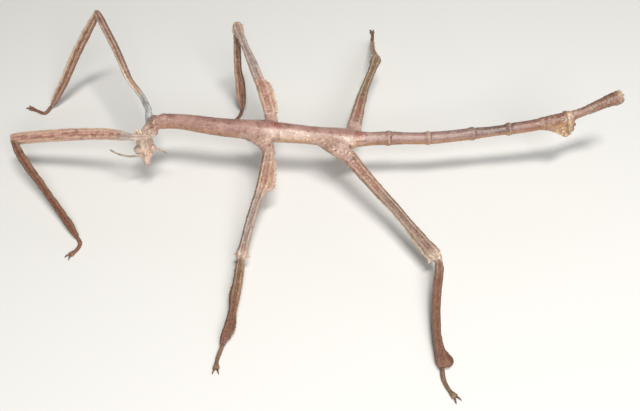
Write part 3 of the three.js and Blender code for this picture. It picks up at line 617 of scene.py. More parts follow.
# %% Straight axes and their tubes
class Axis:
    """A straight course with its own left and up, given by two points."""

    def __init__(self, ends):
        start, end = (np.array(p, float) + FOOTPRINT for p in ends)
        self.start, self.length = start, np.linalg.norm(end - start)
        self.along = unit(end - start)
        self.left = unit(np.cross(UP, self.along))
        self.up = np.cross(self.along, self.left)

    def spot(self, place, side=0.0, up=0.0):
        return self.start + self.along * place * self.length + self.left * side + self.up * up


def axis_tube(bm, axis, table, sides=36, stops=30, square=1.0):
    """A tube along an axis; a square below 1 makes its section a little boxy."""
    rings = []
    for place in np.linspace(table[0][0], table[-1][0], stops):
        half_width, half_height = size_at(table, place)
        ring = []
        for k in range(sides):
            angle = (k + 0.5) / sides * 2 * math.pi
            c, s = math.cos(angle), math.sin(angle)
            ring.append(axis.spot(place, math.copysign(abs(c)**square, c) * half_width,
                                  math.copysign(abs(s)**square, s) * half_height))
        rings.append(ring)
    roll_tube(bm, rings)


neck, head = Axis(NECK), Axis(HEAD)
print("head", round(head.length, 1), "mm long")

# %% [markdown]
# Small features come from three tools: a spike is a cone, a lump is a ball drawn out in three
# directions, and a bent tube follows a smooth line and changes its radius on the way.

# %% Spikes, lumps and bent tubes
def spike(bm, root, tip, base, end, sides=8):
    """A cone from a root to a tip, made by the cone operator and turned to its place."""
    root, tip = Vector(root), Vector(tip)
    turn = (tip - root).to_track_quat("Z", "Y").to_matrix().to_4x4()
    bmesh.ops.create_cone(bm, cap_ends=True, segments=sides, radius1=base, radius2=end,
                          depth=(tip - root).length, matrix=Matrix.Translation((root + tip) / 2) @ turn)


def lump(bm, centre, radii, axes, detail=2):
    """A ball stretched to three radii along three directions."""
    rows = [list(np.array(axis) * radius) for axis, radius in zip(axes, radii)]
    stretch = Matrix(rows).transposed().to_4x4()
    bmesh.ops.create_icosphere(bm, subdivisions=detail, radius=1, matrix=Matrix.Translation(centre) @ stretch)


def bent_tube(bm, points, radii, sides=12, spacing=0.25):
    """A round tube of changing radius along a smooth line."""
    path = smooth_path(points, per_span=12)
    run = run_along(path)
    stops = np.linspace(0, run[-1], max(4, round(run[-1] / spacing)))
    centre, along = sampled(path, run, stops)
    aside = UP if abs(along[0][2]) < 0.9 else np.array((1.0, 0, 0))
    across = unit(np.cross(along, aside))
    out = np.cross(across, along)
    sizes = np.interp(stops / run[-1], np.linspace(0, 1, len(radii)), radii)
    turns = np.arange(sides) / sides * 2 * math.pi
    roll_tube(bm, [
        [c + r * (math.cos(t) * w + math.sin(t) * o) for t in turns]
        for c, w, o, r in zip(centre, across, out, sizes)])


def head_lump(radii, *spot):
    lump(skin_bm, head.spot(*spot), radii, (head.left, head.along, head.up))


print("tools for small features ready")

# %% [markdown]
# The skull widens to the eyes and narrows to the mouth. The crown's spines lean back over the neck,
# each with its own length, as no two are alike on a real one.

# %% Neck, skull and crown
# Spines of the crown: place along the head, place to the side, length, thickness.
CROWN = [
    (0.1, -2.1, 1.8, 0.42), (0.02, -1.8, 2.5, 0.36), (0.12, -1.5, 1.6, 0.45), (0.0, -1.2, 2.9, 0.4),
    (0.1, -0.9, 2.0, 0.42), (0.02, -0.5, 2.5, 0.42), (0.12, -0.1, 1.5, 0.5), (0.03, 0.4, 2.0, 0.45),
    (0.14, 0.9, 1.5, 0.5), (0.05, 1.4, 1.7, 0.45),
]

axis_tube(skin_bm, neck, NECK_RINGS)
neck_axes = (neck.left, neck.up, neck.along)
lump(skin_bm, neck.spot(1.02), (1.5, 1.45, 1.0), neck_axes)
for place, up, size in ((0.0, 0.2, 2.15), (0.2, 0.35, 2.05)):
    lump(skin_bm, neck.spot(place, 0, up), (size, size, 1.3), neck_axes)
axis_tube(skin_bm, head, HEAD_RINGS, square=0.94)

for place, side, length, thick in CROWN:
    root = head.spot(place, side, 1.5 - 0.18 * side * side)
    aim = unit(0.75 * head.up - head.along + 0.32 * side * head.left)
    bend = root + aim * length * 0.5 + head.up * 0.15
    bent_tube(skin_bm, [root - aim * 0.4, bend, root + aim * length],
              [thick * 1.15, thick * 0.85, thick * 0.45, 0.1])
print("spines of the crown:", len(CROWN))

# %% [markdown]
# Between the eyes run two low brow ridges. Each eye sits in a thick rim, and in front of it are the
# socket of the feeler and the cheek.

# %% Brows, eye rims, feeler sockets
EYE = {"along": 0.5, "side": 2.1, "up": 0.55, "radius": 1.25}
RIM = {"gap": 0.08, "depth": 0.22, "radii": [0.27, 0.24, 0.27, 0.24, 0.27]}
BROW = [(0.2, 0.75, 1.9), (0.34, 0.85, 2.02), (0.48, 0.8, 1.98), (0.58, 0.6, 1.8)]

eyes = {}
for word, side in (("left", 1), ("right", -1)):
    bent_tube(skin_bm, [head.spot(p, side * s, u) for p, s, u in BROW], [0.3, 0.4, 0.34, 0.22])
    centre = head.spot(EYE["along"], side * EYE["side"], EYE["up"])
    outward = unit(head.left * side + head.up * 0.55 + head.along * 0.15)
    eyes[word] = (centre, outward)
    forward = unit(np.cross(outward, head.along))
    second = np.cross(outward, forward)
    rim = [centre - outward * RIM["depth"]
           + (EYE["radius"] + RIM["gap"]) * (math.cos(t) * forward + math.sin(t) * second)
           for t in np.linspace(0, 2 * math.pi, 25)]
    bent_tube(skin_bm, rim, RIM["radii"])
    head_lump((0.55, 0.6, 0.5), 0.7, side * 1.35, 0.78)
    head_lump((0.45, 1.0, 0.75), 0.82, side * 0.5, -0.05)
print("eye rims at", EYE["side"], "mm from the middle")

# %% [markdown]
# The mouth has an upper lip under a ridge down the face, and on each side a long and a short palp.
# A palp has a swollen joint half way.

# %% Mouth parts
PALPS = [
    # place along the head, to the side, up, length, thickness
    (0.92, 0.3, -0.15, 1.35, 0.24), (0.86, 0.66, -0.35, 1.3, 0.22),
]

bent_tube(skin_bm, [head.spot(0.56, 0, 1.95), head.spot(0.72, 0, 1.72), head.spot(0.86, 0, 1.25)],
          [0.2, 0.3, 0.2])
head_lump((0.62, 0.8, 0.4), 0.92, 0, 0.45)
for side in (-1, 1):
    for place, away, up, length, size in PALPS:
        root = head.spot(place, side * away, up)
        aim = unit(head.along + head.left * side * 0.1)
        joint = root + aim * length * 0.5 + head.left * side * 0.1
        bent_tube(skin_bm, [root, joint, root + aim * length],
                  [size, size * 1.1, size * 0.75, size * 1.05, size * 0.6])
print("points with the head:", len(skin_bm.verts))

# %% [markdown]
# ## Teeth, knees and tail
#
# The lobes of the middle legs are ragged, with a row of uneven teeth, and smaller teeth run along the
# ribs of the other legs. The teeth are cones with a seeded spread, so that they come out the same
# each time.

# %% Teeth
chance = random.Random(11)
TOOTH_ROOT, TOOTH_TAPER, TOOTH_SIDES = 0.25, 0.3, 7


def edge_spot(name, part, place, side):
    """A point on the front (side 1) or rear (side -1) edge of a leg, and three ways from it:
    outward, along the leg and out of its broad face."""
    centre, along, across, out = courses[f"{name}_{part}"].at(place)
    half_width, _ = size_at(leg_table(name, part), place)
    flanges = LEGS[name]["flanges"].get(part, ([], []))[0 if side > 0 else 1]
    outward = across * side * head_side(name)
    return centre + outward * (half_width + flange_height(flanges, place)), outward, along, out


def teeth(name, part, side, first, last, count, height, base):
    for i in range(count):
        place = first + (last - first) * (i + chance.uniform(0.1, 0.9)) / count
        root, outward, along, out = edge_spot(name, part, place, side)
        tall = height * chance.uniform(0.55, 1.15) + TOOTH_ROOT
        root = root - outward * TOOTH_ROOT
        aim = unit(outward + along * chance.uniform(-0.1, 0.5) + out * chance.uniform(-0.2, 0.3))
        spike(skin_bm, root, root + aim * tall, base, base * TOOTH_TAPER, sides=TOOTH_SIDES)


TEETH = [
    # leg, part, edge, from, to, count, height, base radius
    ("mid_left", "thigh", -1, 0.04, 0.33, 13, 0.5, 0.24),
    ("mid_left", "thigh", -1, 0.27, 0.34, 4, 0.85, 0.28),
    ("mid_left", "thigh", 1, 0.04, 0.5, 12, 0.24, 0.2),
    ("mid_left", "thigh", -1, 0.5, 0.88, 7, 0.16, 0.18),
    ("mid_left", "shin", -1, 0.66, 0.93, 7, 0.3, 0.2),
    ("mid_left", "shin", 1, 0.1, 0.9, 8, 0.13, 0.18),
    ("mid_right", "thigh", -1, 0.02, 0.34, 11, 0.42, 0.24),
    ("mid_right", "thigh", 1, 0.03, 0.5, 12, 0.24, 0.2),
    ("mid_right", "thigh", 1, 0.9, 1.0, 4, 0.45, 0.22),
    ("mid_right", "shin", -1, 0.66, 0.93, 5, 0.24, 0.2),
    ("hind_left", "thigh", 1, 0.04, 0.6, 15, 0.3, 0.22),
    ("hind_left", "thigh", 1, 0.62, 0.97, 8, 0.24, 0.22),
    ("hind_left", "thigh", -1, 0.04, 0.9, 14, 0.2, 0.2),
    ("hind_left", "shin", -1, 0.9, 1.0, 4, 0.2, 0.2),
    ("hind_left", "shin", 1, 0.1, 0.9, 8, 0.12, 0.18),
    ("hind_right", "thigh", 1, 0.06, 0.95, 13, 0.2, 0.2),
    ("hind_right", "thigh", -1, 0.06, 0.9, 12, 0.18, 0.2),
    ("fore_left", "thigh", -1, 0.2, 0.95, 13, 0.16, 0.18),
    ("fore_left", "thigh", 1, 0.2, 0.95, 22, 0.2, 0.16),
    ("fore_right", "thigh", 1, 0.3, 0.95, 9, 0.12, 0.18),
]
for row in TEETH:
    teeth(*row)
print("teeth:", sum(count for *_, count, _, _ in TEETH))

# %% [markdown]
# Some places have their own lumps: blunt warts round the left fore hip, round lobes at the ends of two
# shins, spurs at the knees, a soft pad under each foot's tip, and a cap where thigh and shin meet.

# %% Warts, lobes, spurs, pads and caps
HIP_WARTS = 16
SHIN_LOBES = {
    # leg: place, how far in from the edge, radii across, along and out
    "hind_left": (0.95, 1.5, (1.75, 1.9, 0.6)), "mid_left": (0.81, 1.05, (1.0, 2.3, 0.5)),
}
KNEE_SPURS = [
    ("mid_left", "thigh", 1), ("mid_left", "thigh", -1), ("mid_left", "shin", 1),
    ("hind_left", "thigh", 1), ("mid_right", "thigh", -1), ("hind_right", "thigh", 1),
]
SPUR_PLACE = {"thigh": 0.97, "shin": 0.03}

for _ in range(HIP_WARTS):
    centre, along, across, out = courses["fore_left_hip"].at(chance.uniform(0.55, 1.15))
    angle = chance.uniform(-0.6, math.pi + 0.6)
    aim = unit(across * math.cos(angle) + out * math.sin(angle) + along * chance.uniform(-0.3, 0.5))
    spike(skin_bm, centre + aim * 0.7, centre + aim * chance.uniform(1.25, 1.9), 0.34, 0.14)
for name, (place, inward, radii) in SHIN_LOBES.items():
    root, outward, along, out = edge_spot(name, "shin", place, -1)
    lump(skin_bm, root - outward * inward, radii, (outward, along, out), detail=3)
for name, part, side in KNEE_SPURS:
    root, outward, along, out = edge_spot(name, part, SPUR_PLACE[part], side)
    spike(skin_bm, root - outward * 0.4, root + outward * 0.75 + along * 0.5, 0.4, 0.12)
for name in LEGS:
    thigh, shin, foot = (courses[f"{name}_{part}"] for part in ("thigh", "shin", "foot"))
    centre, along, across, out = foot.at(0.97)
    lump(skin_bm, centre + along * 0.25, (0.55, 1.1, 0.36), (along, across, out))
    meet = (thigh.at(1)[0] + shin.at(0)[0]) / 2
    wide, deep = size_at(leg_table(name, "thigh"), 0.97)
    lump(skin_bm, meet, (wide * 0.72, deep * 0.8, 0.95), (thigh.across[-1], thigh.out[-1], thigh.along[-1]))
print("knees and feet:", len(LEGS))

# %% [markdown]
# The tail ends bluntly, with two short points above and a keeled lower lip. A helper finds a point on
# the trunk from its x and an angle round it, so that features can be set on the surface.

# %% Tail
def trunk_spot(x, angle, lift=0.0):
    """A point on the trunk at x, the way out from it, and the trunk's way.

    The angle is counted from the far side over the back to the near side."""
    half_width, half_height = size_at(TRUNK_TABLE, x)
    centre, along, across, out = trunk.at(trunk.place_of_x(x))
    c, s = math.cos(angle), math.sin(angle)
    drop = lobe_depth(x) * max(0, -s) ** LOBE_KEEL
    outward = unit(across * c / half_width + out * s / half_height)
    return (centre + across * (c * half_width - LOBE["lean"] * drop) + out * (s * half_height - drop)
            + outward * lift, outward, along)


TAIL_LUMPS = [(85.0, 1.1, 0.5), (85.1, 2.1, 0.45), (85.0, -1.3, 0.55), (85.1, -2.2, 0.45)]

for angle in (0.35, math.pi - 0.35):
    root, outward, along = trunk_spot(84.6, angle)
    tip = root + along * 0.85 + outward * 0.15
    bent_tube(skin_bm, [root - along * 0.8 - outward * 0.45, root + along * 0.4 - outward * 0.2, tip],
              [0.5, 0.42, 0.18])
for x, angle, size in TAIL_LUMPS:
    root, _, _ = trunk_spot(x, angle, -0.35)
    lump(skin_bm, root, (size, size, 0.6), (trunk.across[-1], trunk.out[-1], trunk.along[-1]))
print("lumps at the tail:", len(TAIL_LUMPS))

# %% [markdown]
# The grasping lobe carries a crest of coarse grains and a row of knobs underneath, and a pale ridge
# climbs its rear face on both sides. The grains are balls at seeded places, thickest near the peak.

# %% Grasping lobe
LOBE_GRAINS = 46
# Knobs under the lobe: x, how far out, size.
LOBE_KNOBS = [
    (67.6, -0.5, 0.75), (68.6, -0.45, 0.9), (69.6, -0.3, 0.95), (70.6, 0.1, 0.95), (71.3, 0.35, 0.8),
]
RIDGE_LINE = [(69.3, 1.2), (69.4, 0.2), (69.6, -0.7), (69.8, -1.3)]
RIDGE_RADII = {"far": [0.3, 0.5, 0.6, 0.5], "near": [0.3, 0.55, 0.65, 0.5]}

for _ in range(LOBE_GRAINS):
    x = LOBE["from"] + 1.5 + (LOBE["to"] - LOBE["from"] - 1.9) * chance.random() ** 0.6
    root, outward, _ = trunk_spot(x, -math.pi / 2 + chance.gauss(0, 0.42))
    size = chance.uniform(0.24, 0.46) * min(1, 0.5 + lobe_depth(x) / 4)
    lump(skin_bm, root - outward * size * 0.25, (size, size, size), np.eye(3), detail=1)
for x, lift, size in LOBE_KNOBS:
    root, outward, along = trunk_spot(x, -math.pi / 2, lift)
    lump(skin_bm, root, (size, size * 0.85, size * 0.8), (along, np.cross(along, outward), outward))
for flank, radii in RIDGE_RADII.items():
    bent_tube(skin_bm, [trunk_spot(x, angle if flank == "far" else math.pi - angle, 0.05)[0]
                        for x, angle in RIDGE_LINE], radii)
print("grains on the lobe:", LOBE_GRAINS)

# %% [markdown]
# ## One skin
#
# All these closed shapes run into each other. A voxel remesh melts them into one skin without a
# seam, as a sculptor's clay is smoothed over an armature. The voxels are fine, so the skin
# has far more faces than it needs at this stage: the small lumps are moved in first, and then the
# skin is thinned, which takes faces from where it is flat.

# %% Melt the shapes together
VOXEL, MELT_ROUNDS = 0.17, 3


def object_from(bm, name):
    mesh = bpy.data.meshes.new(name)
    bm.to_mesh(mesh)
    bm.free()
    made = bpy.data.objects.new(name, mesh)
    scene.collection.objects.link(made)
    return made


def apply_modifiers(obj):
    """Puts the result of the object's modifiers in its mesh and takes them off."""
    bpy.context.view_layer.update()
    finished = bpy.data.meshes.new_from_object(obj.evaluated_get(bpy.context.evaluated_depsgraph_get()))
    obj.modifiers.clear()
    obj.data = finished


def smooth_mesh(mesh, rounds, chosen=None):
    """Draws the points of a mesh towards their neighbours, or only the points with some numbers."""
    bm = bmesh.new()
    bm.from_mesh(mesh)
    bm.verts.ensure_lookup_table()
    verts = bm.verts if chosen is None else [bm.verts[i] for i in chosen]
    for _ in range(rounds):
        bmesh.ops.smooth_vert(bm, verts=verts, factor=0.5, use_axis_x=True, use_axis_y=True, use_axis_z=True)
    bm.to_mesh(mesh)
    bm.free()


skin = object_from(skin_bm, "skin")
remesh = skin.modifiers.new("melt", "REMESH")
remesh.mode = "VOXEL"
remesh.voxel_size = VOXEL
apply_modifiers(skin)
smooth_mesh(skin.data, MELT_ROUNDS)
print("skin after the remesh:", len(skin.data.vertices), "points")

# %% [markdown]
# ## Where each point of the skin belongs
#
# Ribs, streaks and markings follow the limbs, so every point of the skin has to know which limb it is
# on, how far along it, and where round it. First the centre lines of all limbs are put in one table
# of guide points.

# %% Guide points
GUIDE_NAMES = list(courses) + ["neck", "head"]
# The columns of the table.
LIMB, PLACE, RUN = 0, 1, 2
SIZES, CENTRE, ACROSS, OUT = slice(3, 5), slice(5, 8), slice(8, 11), slice(11, 14)


def guide_sizes(name, place):
    if name == "trunk":
        x = np.interp(place * trunk.length, trunk.run, trunk.centre[:, 0]) - FOOTPRINT[0]
        return size_at(TRUNK_TABLE, x)
    leg, part = name.rsplit("_", 1)
    return size_at(leg_table(leg, part), place)


guide_rows = []
for number, (name, course) in enumerate(courses.items()):
    for i, run in enumerate(course.run):
        place = run / course.length
        guide_rows.append([number, place, run, *guide_sizes(name, place), *course.centre[i],
                           *course.across[i], *course.out[i]])
for axis, table in ((neck, NECK_RINGS), (head, HEAD_RINGS)):
    number = len(courses) + (axis is head)
    for place in np.linspace(0, 1, 2 + round(axis.length / Course.SPACING)):
        guide_rows.append([number, place, place * axis.length, *size_at(table, place), *axis.spot(place),
                           *axis.left, *axis.up])
guides = np.array(guide_rows)
print("guide points:", len(guides))

# %% [markdown]
# A search tree of the guide points gives the nearest ones, and the one that is nearest for its
# thickness wins, so that a slim leg doesn't claim the flank beside it.

# %% Limb coordinates
def tree_of(spots):
    tree = kdtree.KDTree(len(spots))
    for i, spot in enumerate(spots):
        tree.insert(spot, i)
    tree.balance()
    return tree


def read_rows(data, field):
    """A field of three numbers for each point, as rows of an array."""
    values = np.empty(len(data) * 3, np.float32)
    data.foreach_get(field, values)
    return values.reshape(-1, 3).astype(float)


def points_of(mesh):
    return read_rows(mesh.vertices, "co")


def normals_of(mesh):
    return read_rows(mesh.vertex_normals, "vector")


guide_tree = tree_of(guides[:, CENTRE])
guide_thickness = guides[:, SIZES].mean(axis=1)


def limb_coordinates(co):
    """For each point: its limb, place, run in mm, and its place across and out of the section."""
    nearest = np.empty(len(co), int)
    for i, spot in enumerate(co):
        nearest[i] = min(guide_tree.find_n(spot, 3), key=lambda hit: hit[2] / guide_thickness[hit[1]])[1]
    row = guides[nearest]
    offset = co - row[:, CENTRE]
    across = (offset * row[:, ACROSS]).sum(axis=1) / row[:, SIZES][:, 0]
    out = (offset * row[:, OUT]).sum(axis=1) / row[:, SIZES][:, 1]
    return {"limb": row[:, LIMB].astype(int), "place": row[:, PLACE], "run": row[:, RUN],
            "across": across, "out": out, "thickness": guide_thickness[nearest]}


def on(where, *names):
    """A mask of the points on the limbs whose names end or start with one of these words."""
    chosen = [i for i, name in enumerate(GUIDE_NAMES) for word in names
              if name.startswith(word) or name.endswith(word)]
    return np.isin(where["limb"], chosen)


print("limbs:", len(GUIDE_NAMES))

# %% [markdown]
# The middle and hind hips grow out of the thorax without a step. A crease is filled as a soap film
# would fill it: only the points that are near both the trunk's surface and a hip's are smoothed, many
# times, while the skin round them stays where it is. The joint of neck and thorax is filled too.

# %% Fillets at the hips
def surface_share(co, chosen):
    """Each point's distance from the nearest of some limbs' centre lines, as a share of their thickness."""
    rows = guides[np.isin(guides[:, LIMB], [i for i, name in enumerate(GUIDE_NAMES) if chosen(name)])]
    tree = tree_of(rows[:, CENTRE])
    thickness = rows[:, SIZES].mean(axis=1)
    hits = [tree.find(spot) for spot in co]
    return np.array([distance / thickness[i] for _, i, distance in hits])


FILLET_ROOM, FILLET_ROUNDS, NECK_FILLET, SURFACE = 0.42, 90, 1.2, 1.05
co = points_of(skin.data)
trunk_share = surface_share(co, lambda name: name == "trunk")
hip_share = surface_share(co, lambda name: name.endswith("hip") and not name.startswith("fore"))
crease = np.maximum(np.abs(trunk_share - SURFACE), np.abs(hip_share - SURFACE)) < FILLET_ROOM
crease |= np.abs(co[:, 0] - FOOTPRINT[0] - THORAX[0][0]) < NECK_FILLET
smooth_mesh(skin.data, FILLET_ROUNDS, np.flatnonzero(crease))
co = points_of(skin.data)
where = limb_coordinates(co)
print("points in the fillets:", crease.sum(), "of", len(co))

# %% [markdown]
# ## Grains and roughness
#
# The skin is set with small round grains: thickly round the hips and on the abdomen's rims, the head
# and the tail's tip, thinly along the legs. Each grain is a small dome that is raised by moving the
# skin's points outwards, as a sculptor's brush would. A low, uneven swelling along the legs keeps them
# from looking machined.

# %% Where the grains stand
body_x = co[:, 0] - FOOTPRINT[0]
on_trunk = on(where, "trunk")
low_side = (where["out"] < 0.35) & (where["out"] > -0.75)
near_joint = np.min([np.abs(body_x - (x - 0.45)) for x in JOINTS[1:]], axis=0)
GRAIN_FIELDS = [
    # points, how many, radius, height
    (on_trunk & low_side & (np.abs(body_x + 18.5) < 4.5), 150, 0.34, 0.13),
    (on_trunk & low_side & (np.abs(body_x + 13) < 3), 46, 0.3, 0.09),
    (on_trunk & low_side & (np.abs(body_x - 3.5) < 4), 110, 0.34, 0.13),
    (on_trunk & (near_joint < 0.38) & (body_x > 8), 150, 0.32, 0.1),
    (on_trunk & (np.abs(body_x - 13) < 5), 40, 0.3, 0.07),
    (on_trunk & (body_x > 83.4), 110, 0.36, 0.17),
    (on_trunk & (body_x > 71.5) & (body_x < 84), 60, 0.3, 0.08),
    (on_trunk & (np.abs(body_x - 67) < 4.5), 160, 0.36, 0.15),
    (on_trunk & (body_x < -46), 30, 0.3, 0.07),
    (on(where, "hip"), 260, 0.34, 0.13),
    (on(where, "neck"), 110, 0.34, 0.15),
    (on(where, "head"), 260, 0.3, 0.17),
    (on(where, "thigh") & (where["place"] < 0.4), 360, 0.32, 0.1),
    (on(where, "thigh") & (where["place"] >= 0.4), 330, 0.3, 0.08),
    (on(where, "shin"), 330, 0.28, 0.07),
]
GRAIN_SPREAD = (0.7, 1.25)

grain_spots = []
for mask, count, radius, height in GRAIN_FIELDS:
    candidates = np.flatnonzero(mask)
    for index in chance.sample(range(len(candidates)), count):
        size = chance.uniform(*GRAIN_SPREAD)
        grain_spots.append((co[candidates[index]], radius * size, height * size))
grain_tree = tree_of([spot for spot, _, _ in grain_spots])
print("grains:", len(grain_spots))

# %% [markdown]
# Each point within a grain's radius is raised to a dome, along the skin's own way out. Smooth noise in
# two sizes gives the swelling, which is stronger on the legs than on the body.

# %% Raise the grains and swell the legs
SWELLINGS = [
    # size in mm, seed, height, height more on the legs
    (2.1, 3, 0.025, 0.07), (0.75, 9, 0.012, 0.035),
]


def grain_height(co):
    """Height of the grain at each point, and the same as a share of its full height."""
    height, share = np.zeros(len(co)), np.zeros(len(co))
    for i, spot in enumerate(co):
        _, index, distance = grain_tree.find(spot)
        _, radius, full = grain_spots[index]
        if distance < radius:
            share[i] = (1 - (distance / radius) ** 2) ** 1.5
            height[i] = full * share[i]
    return height, share


def swelling(co, size, seed):
    """Smooth noise from -1 to 1, with lumps of the given size in mm."""
    return np.array([noise.noise(Vector(spot) / size + Vector((seed, 0, 0))) for spot in co])


raised, _ = grain_height(co)
raised[on(where, "foot")] = 0
limbs = on(where, "thigh", "shin", "hip").astype(float)
raised += sum(swelling(co, size, seed) * (height + more * limbs) for size, seed, height, more in SWELLINGS)
co += normals_of(skin.data) * raised[:, None]
print("highest grain", round(raised.max(), 2), "mm")

# %% [markdown]
# An eye is a piece of its own, so the skin makes room for it: the points inside a ball round the eye
# are pushed back into a bowl. Nothing goes below the floor.

# %% Eye sockets
EYE_ROOM = 0.1

for centre, outward in eyes.values():
    offset = co - centre
    room = EYE["radius"] + EYE_ROOM
    inside = np.linalg.norm(offset, axis=1) < room
    side = (offset[inside] * outward).sum(axis=1)
    flat = offset[inside] - side[:, None] * outward
    depth = np.sqrt(np.maximum(0, room**2 - (flat**2).sum(axis=1)))
    co[inside] = centre + flat - depth[:, None] * outward
co[:, 2] = np.maximum(co[:, 2], 0)
skin.data.vertices.foreach_set("co", co.astype(np.float32).ravel())
skin.data.update()
print("highest point", round(co[:, 2].max(), 1), "mm")

# %% [markdown]
# Now the skin is thinned to what a library piece may have. Collapsing edges takes faces where the skin
# is flat and keeps them on grains, teeth and ribs. Later it is brought to metres.

# %% Thin the skin
SKIN_TRIANGLES = 196_000

skin.data.calc_loop_triangles()
thin = skin.modifiers.new("thin", "DECIMATE")
thin.ratio = SKIN_TRIANGLES / len(skin.data.loop_triangles)
thin.use_collapse_triangulate = True
apply_modifiers(skin)
for polygon in skin.data.polygons:
    polygon.use_smooth = True
print("skin triangles:", len(skin.data.polygons))

# %% [markdown]
# ## Masks for the finish
#
# The finish is told where it is by masks on the skin's points: which parts are smooth thorax, pink fore
# leg, rusty foot or pale hip, where grains and joints are, and whether a point stands on a ridge
# or lies in a groove. The last one is worked out from the slope to each point's neighbours. Every
# mask of a limb is softened over the skin afterwards, so that no colour ends on a hard line.

# %% Relief and softening
def ramp(values, low, high):
    """Smooth step from 0 at low to 1 at high."""
    share = np.clip((values - low) / (high - low), 0, 1)
    return share * share * (3 - 2 * share)


def window(values, rise, full, fall, end):
    """A smooth rise from 0 to 1 and a smooth fall back to 0."""
    return ramp(values, rise, full) * (1 - ramp(values, fall, end))


def bump_at(values, middle, reach, fade):
    """1 within a reach of the middle, fading to 0."""
    return 1 - ramp(np.abs(values - middle), reach, reach + fade)


edges = np.empty(len(skin.data.edges) * 2, np.int32)
skin.data.edges.foreach_get("vertices", edges)
first, second = edges.reshape(-1, 2).T
point_count = len(skin.data.vertices)


def gathered(to_first, to_second):
    """For each point, the mean over its edges of a value that each edge gives to its two ends."""
    total = np.bincount(first, to_first, point_count) + np.bincount(second, to_second, point_count)
    return total / (np.bincount(first, minlength=point_count) + np.bincount(second, minlength=point_count))


def soften(values, rounds):
    for _ in range(rounds):
        values = 0.5 * values + 0.5 * gathered(values[second], values[first])
    return values


def relief_of(co, normals, thickness, reach=0.8):
    """Positive on ridges, negative in grooves, about -1 to 1, and 0 on a smooth round limb."""
    step = co[second] - co[first]
    long = (step**2).sum(axis=1) + 1e-9
    at_first, at_second = ((normals[end] * step).sum(axis=1) / long for end in (first, second))
    relief = gathered(-at_first, at_second)
    return np.clip((soften(relief, 2) - 0.5 / thickness) * reach, -1, 1)


co = points_of(skin.data)
where = limb_coordinates(co)
_, grain = grain_height(co)
relief = relief_of(co, normals_of(skin.data), where["thickness"])
print("relief from", round(relief.min(), 1), "to", round(relief.max(), 1))

# %% [markdown]
# Each limb has its own shade. The tables say how pink or how rusty it is, and how pale its
# front and rear edges are, where a number below nought paints shade on an edge that lies in shadow.
# Olive, umber and mauve change along a limb, so they are given as pairs of a place and a strength.

# %% Shades of the limbs
PINK = {
    "fore_left_thigh": 1.0, "fore_right_thigh": 0.6, "fore_right_shin": 0.35, "mid_left_thigh": 0.35,
    "mid_right_thigh": 0.85, "mid_right_shin": 0.8, "hind_left_thigh": 0.15, "hind_right_shin": 0.5,
}
RUST = {
    "fore_left_shin": 0.4, "mid_right_shin": 0.25, "fore_left_foot": 0.9, "fore_right_foot": 0.8,
    "mid_left_foot": 0.3, "mid_right_foot": 0.6, "hind_left_foot": 0.3, "hind_right_foot": 0.3,
}
EDGE_TONE = {
    "fore_left_thigh": (0.6, 0.5), "fore_left_shin": (-0.4, 0.15), "fore_right_thigh": (1.0, -0.5),
    "fore_right_shin": (-0.4, 1.0), "mid_left_thigh": (-1.0, 0.3), "mid_left_shin": (-0.6, 0.3),
    "mid_right_thigh": (0.5, 0.7), "mid_right_shin": (-1.0, 0.7), "hind_left_thigh": (0.8, -0.25),
    "hind_left_shin": (0.2, -0.5), "hind_right_thigh": (0.2, -0.5), "hind_right_shin": (0.8, 0.3),
}
OLIVE = {
    "mid_left_shin": [(0, 0.7), (0.4, 0.6), (0.6, 0.1)],
    "hind_right_thigh": [(0.15, 0), (0.35, 0.9), (0.85, 0.6)],
    "hind_left_foot": [(0.3, 0), (0.5, 0.9)], "mid_left_foot": [(0.3, 0), (0.5, 0.9)],
    "hind_right_foot": [(0.3, 0), (0.5, 0.4)], "fore_left_shin": [(0, 0.3), (0.5, 0.1)],
    "hind_left_thigh": [(0.5, 0), (0.7, 0.2)], "mid_right_thigh": [(0.4, 0), (0.6, 0.3)],
    "trunk": [(0.89, 0), (0.92, 0.6), (0.96, 0.5), (1, 0.2)],
}
UMBER = {
    "mid_left_shin": [(0.1, 0.3), (0.4, 0.6), (0.6, 1)], "hind_left_shin": [(0.05, 0.3), (0.15, 0.9), (1, 1)],
    "fore_left_shin": [(0, 0.8), (1, 1.0)], "hind_left_thigh": [(0.1, 0.5), (0.4, 0.2)],
    "mid_left_thigh": [(0.1, 0.35), (0.4, 0)], "hind_left_hip": [(0.3, 0), (1, 0.4)],
    "mid_left_hip": [(0.4, 0), (1, 0.35)],
    "mid_right_shin": [(0, 0.15), (1, 0.3)], "fore_right_shin": [(0, 0), (0.8, 0.3)],
    "trunk": [(0.74, 0), (0.78, 0.65), (0.83, 0.7), (0.88, 0.75), (0.9, 0.3), (0.94, 0.45), (1, 0.6)],
}
MAUVE = {
    "mid_left_thigh": [(0.3, 0), (0.4, 0.4), (0.85, 0.3)],
    "hind_left_thigh": [(0.25, 0), (0.4, 0.5), (0.9, 0.3)],
    "trunk": [(0.42, 0.1), (0.45, 0.4), (0.6, 0.6), (0.66, 0.85), (0.7, 1.0), (0.76, 1.0), (0.78, 0.25),
              (0.88, 0.1), (0.9, 0.3), (0.93, 0.1), (1, 0.2)],
    "hind_left_shin": [(0, 0.6), (0.12, 0)], "fore_right_thigh": [(0.3, 0.1), (0.5, 0.4)],
    "mid_right_thigh": [(0.3, 0), (0.45, 0.6), (0.8, 0.55)],
}
print("shades for", len(EDGE_TONE), "limbs")

# %% [markdown]
# The tables are turned into values for each point. Left and right legs point their across directions
# opposite ways, so one more value says how far a point is to the front of its leg.

# %% Points of the thinned skin
def by_limb(table, default=0.0):
    """For each point, what a table says for its limb."""
    return np.array([table.get(name, default) for name in GUIDE_NAMES])[where["limb"]]


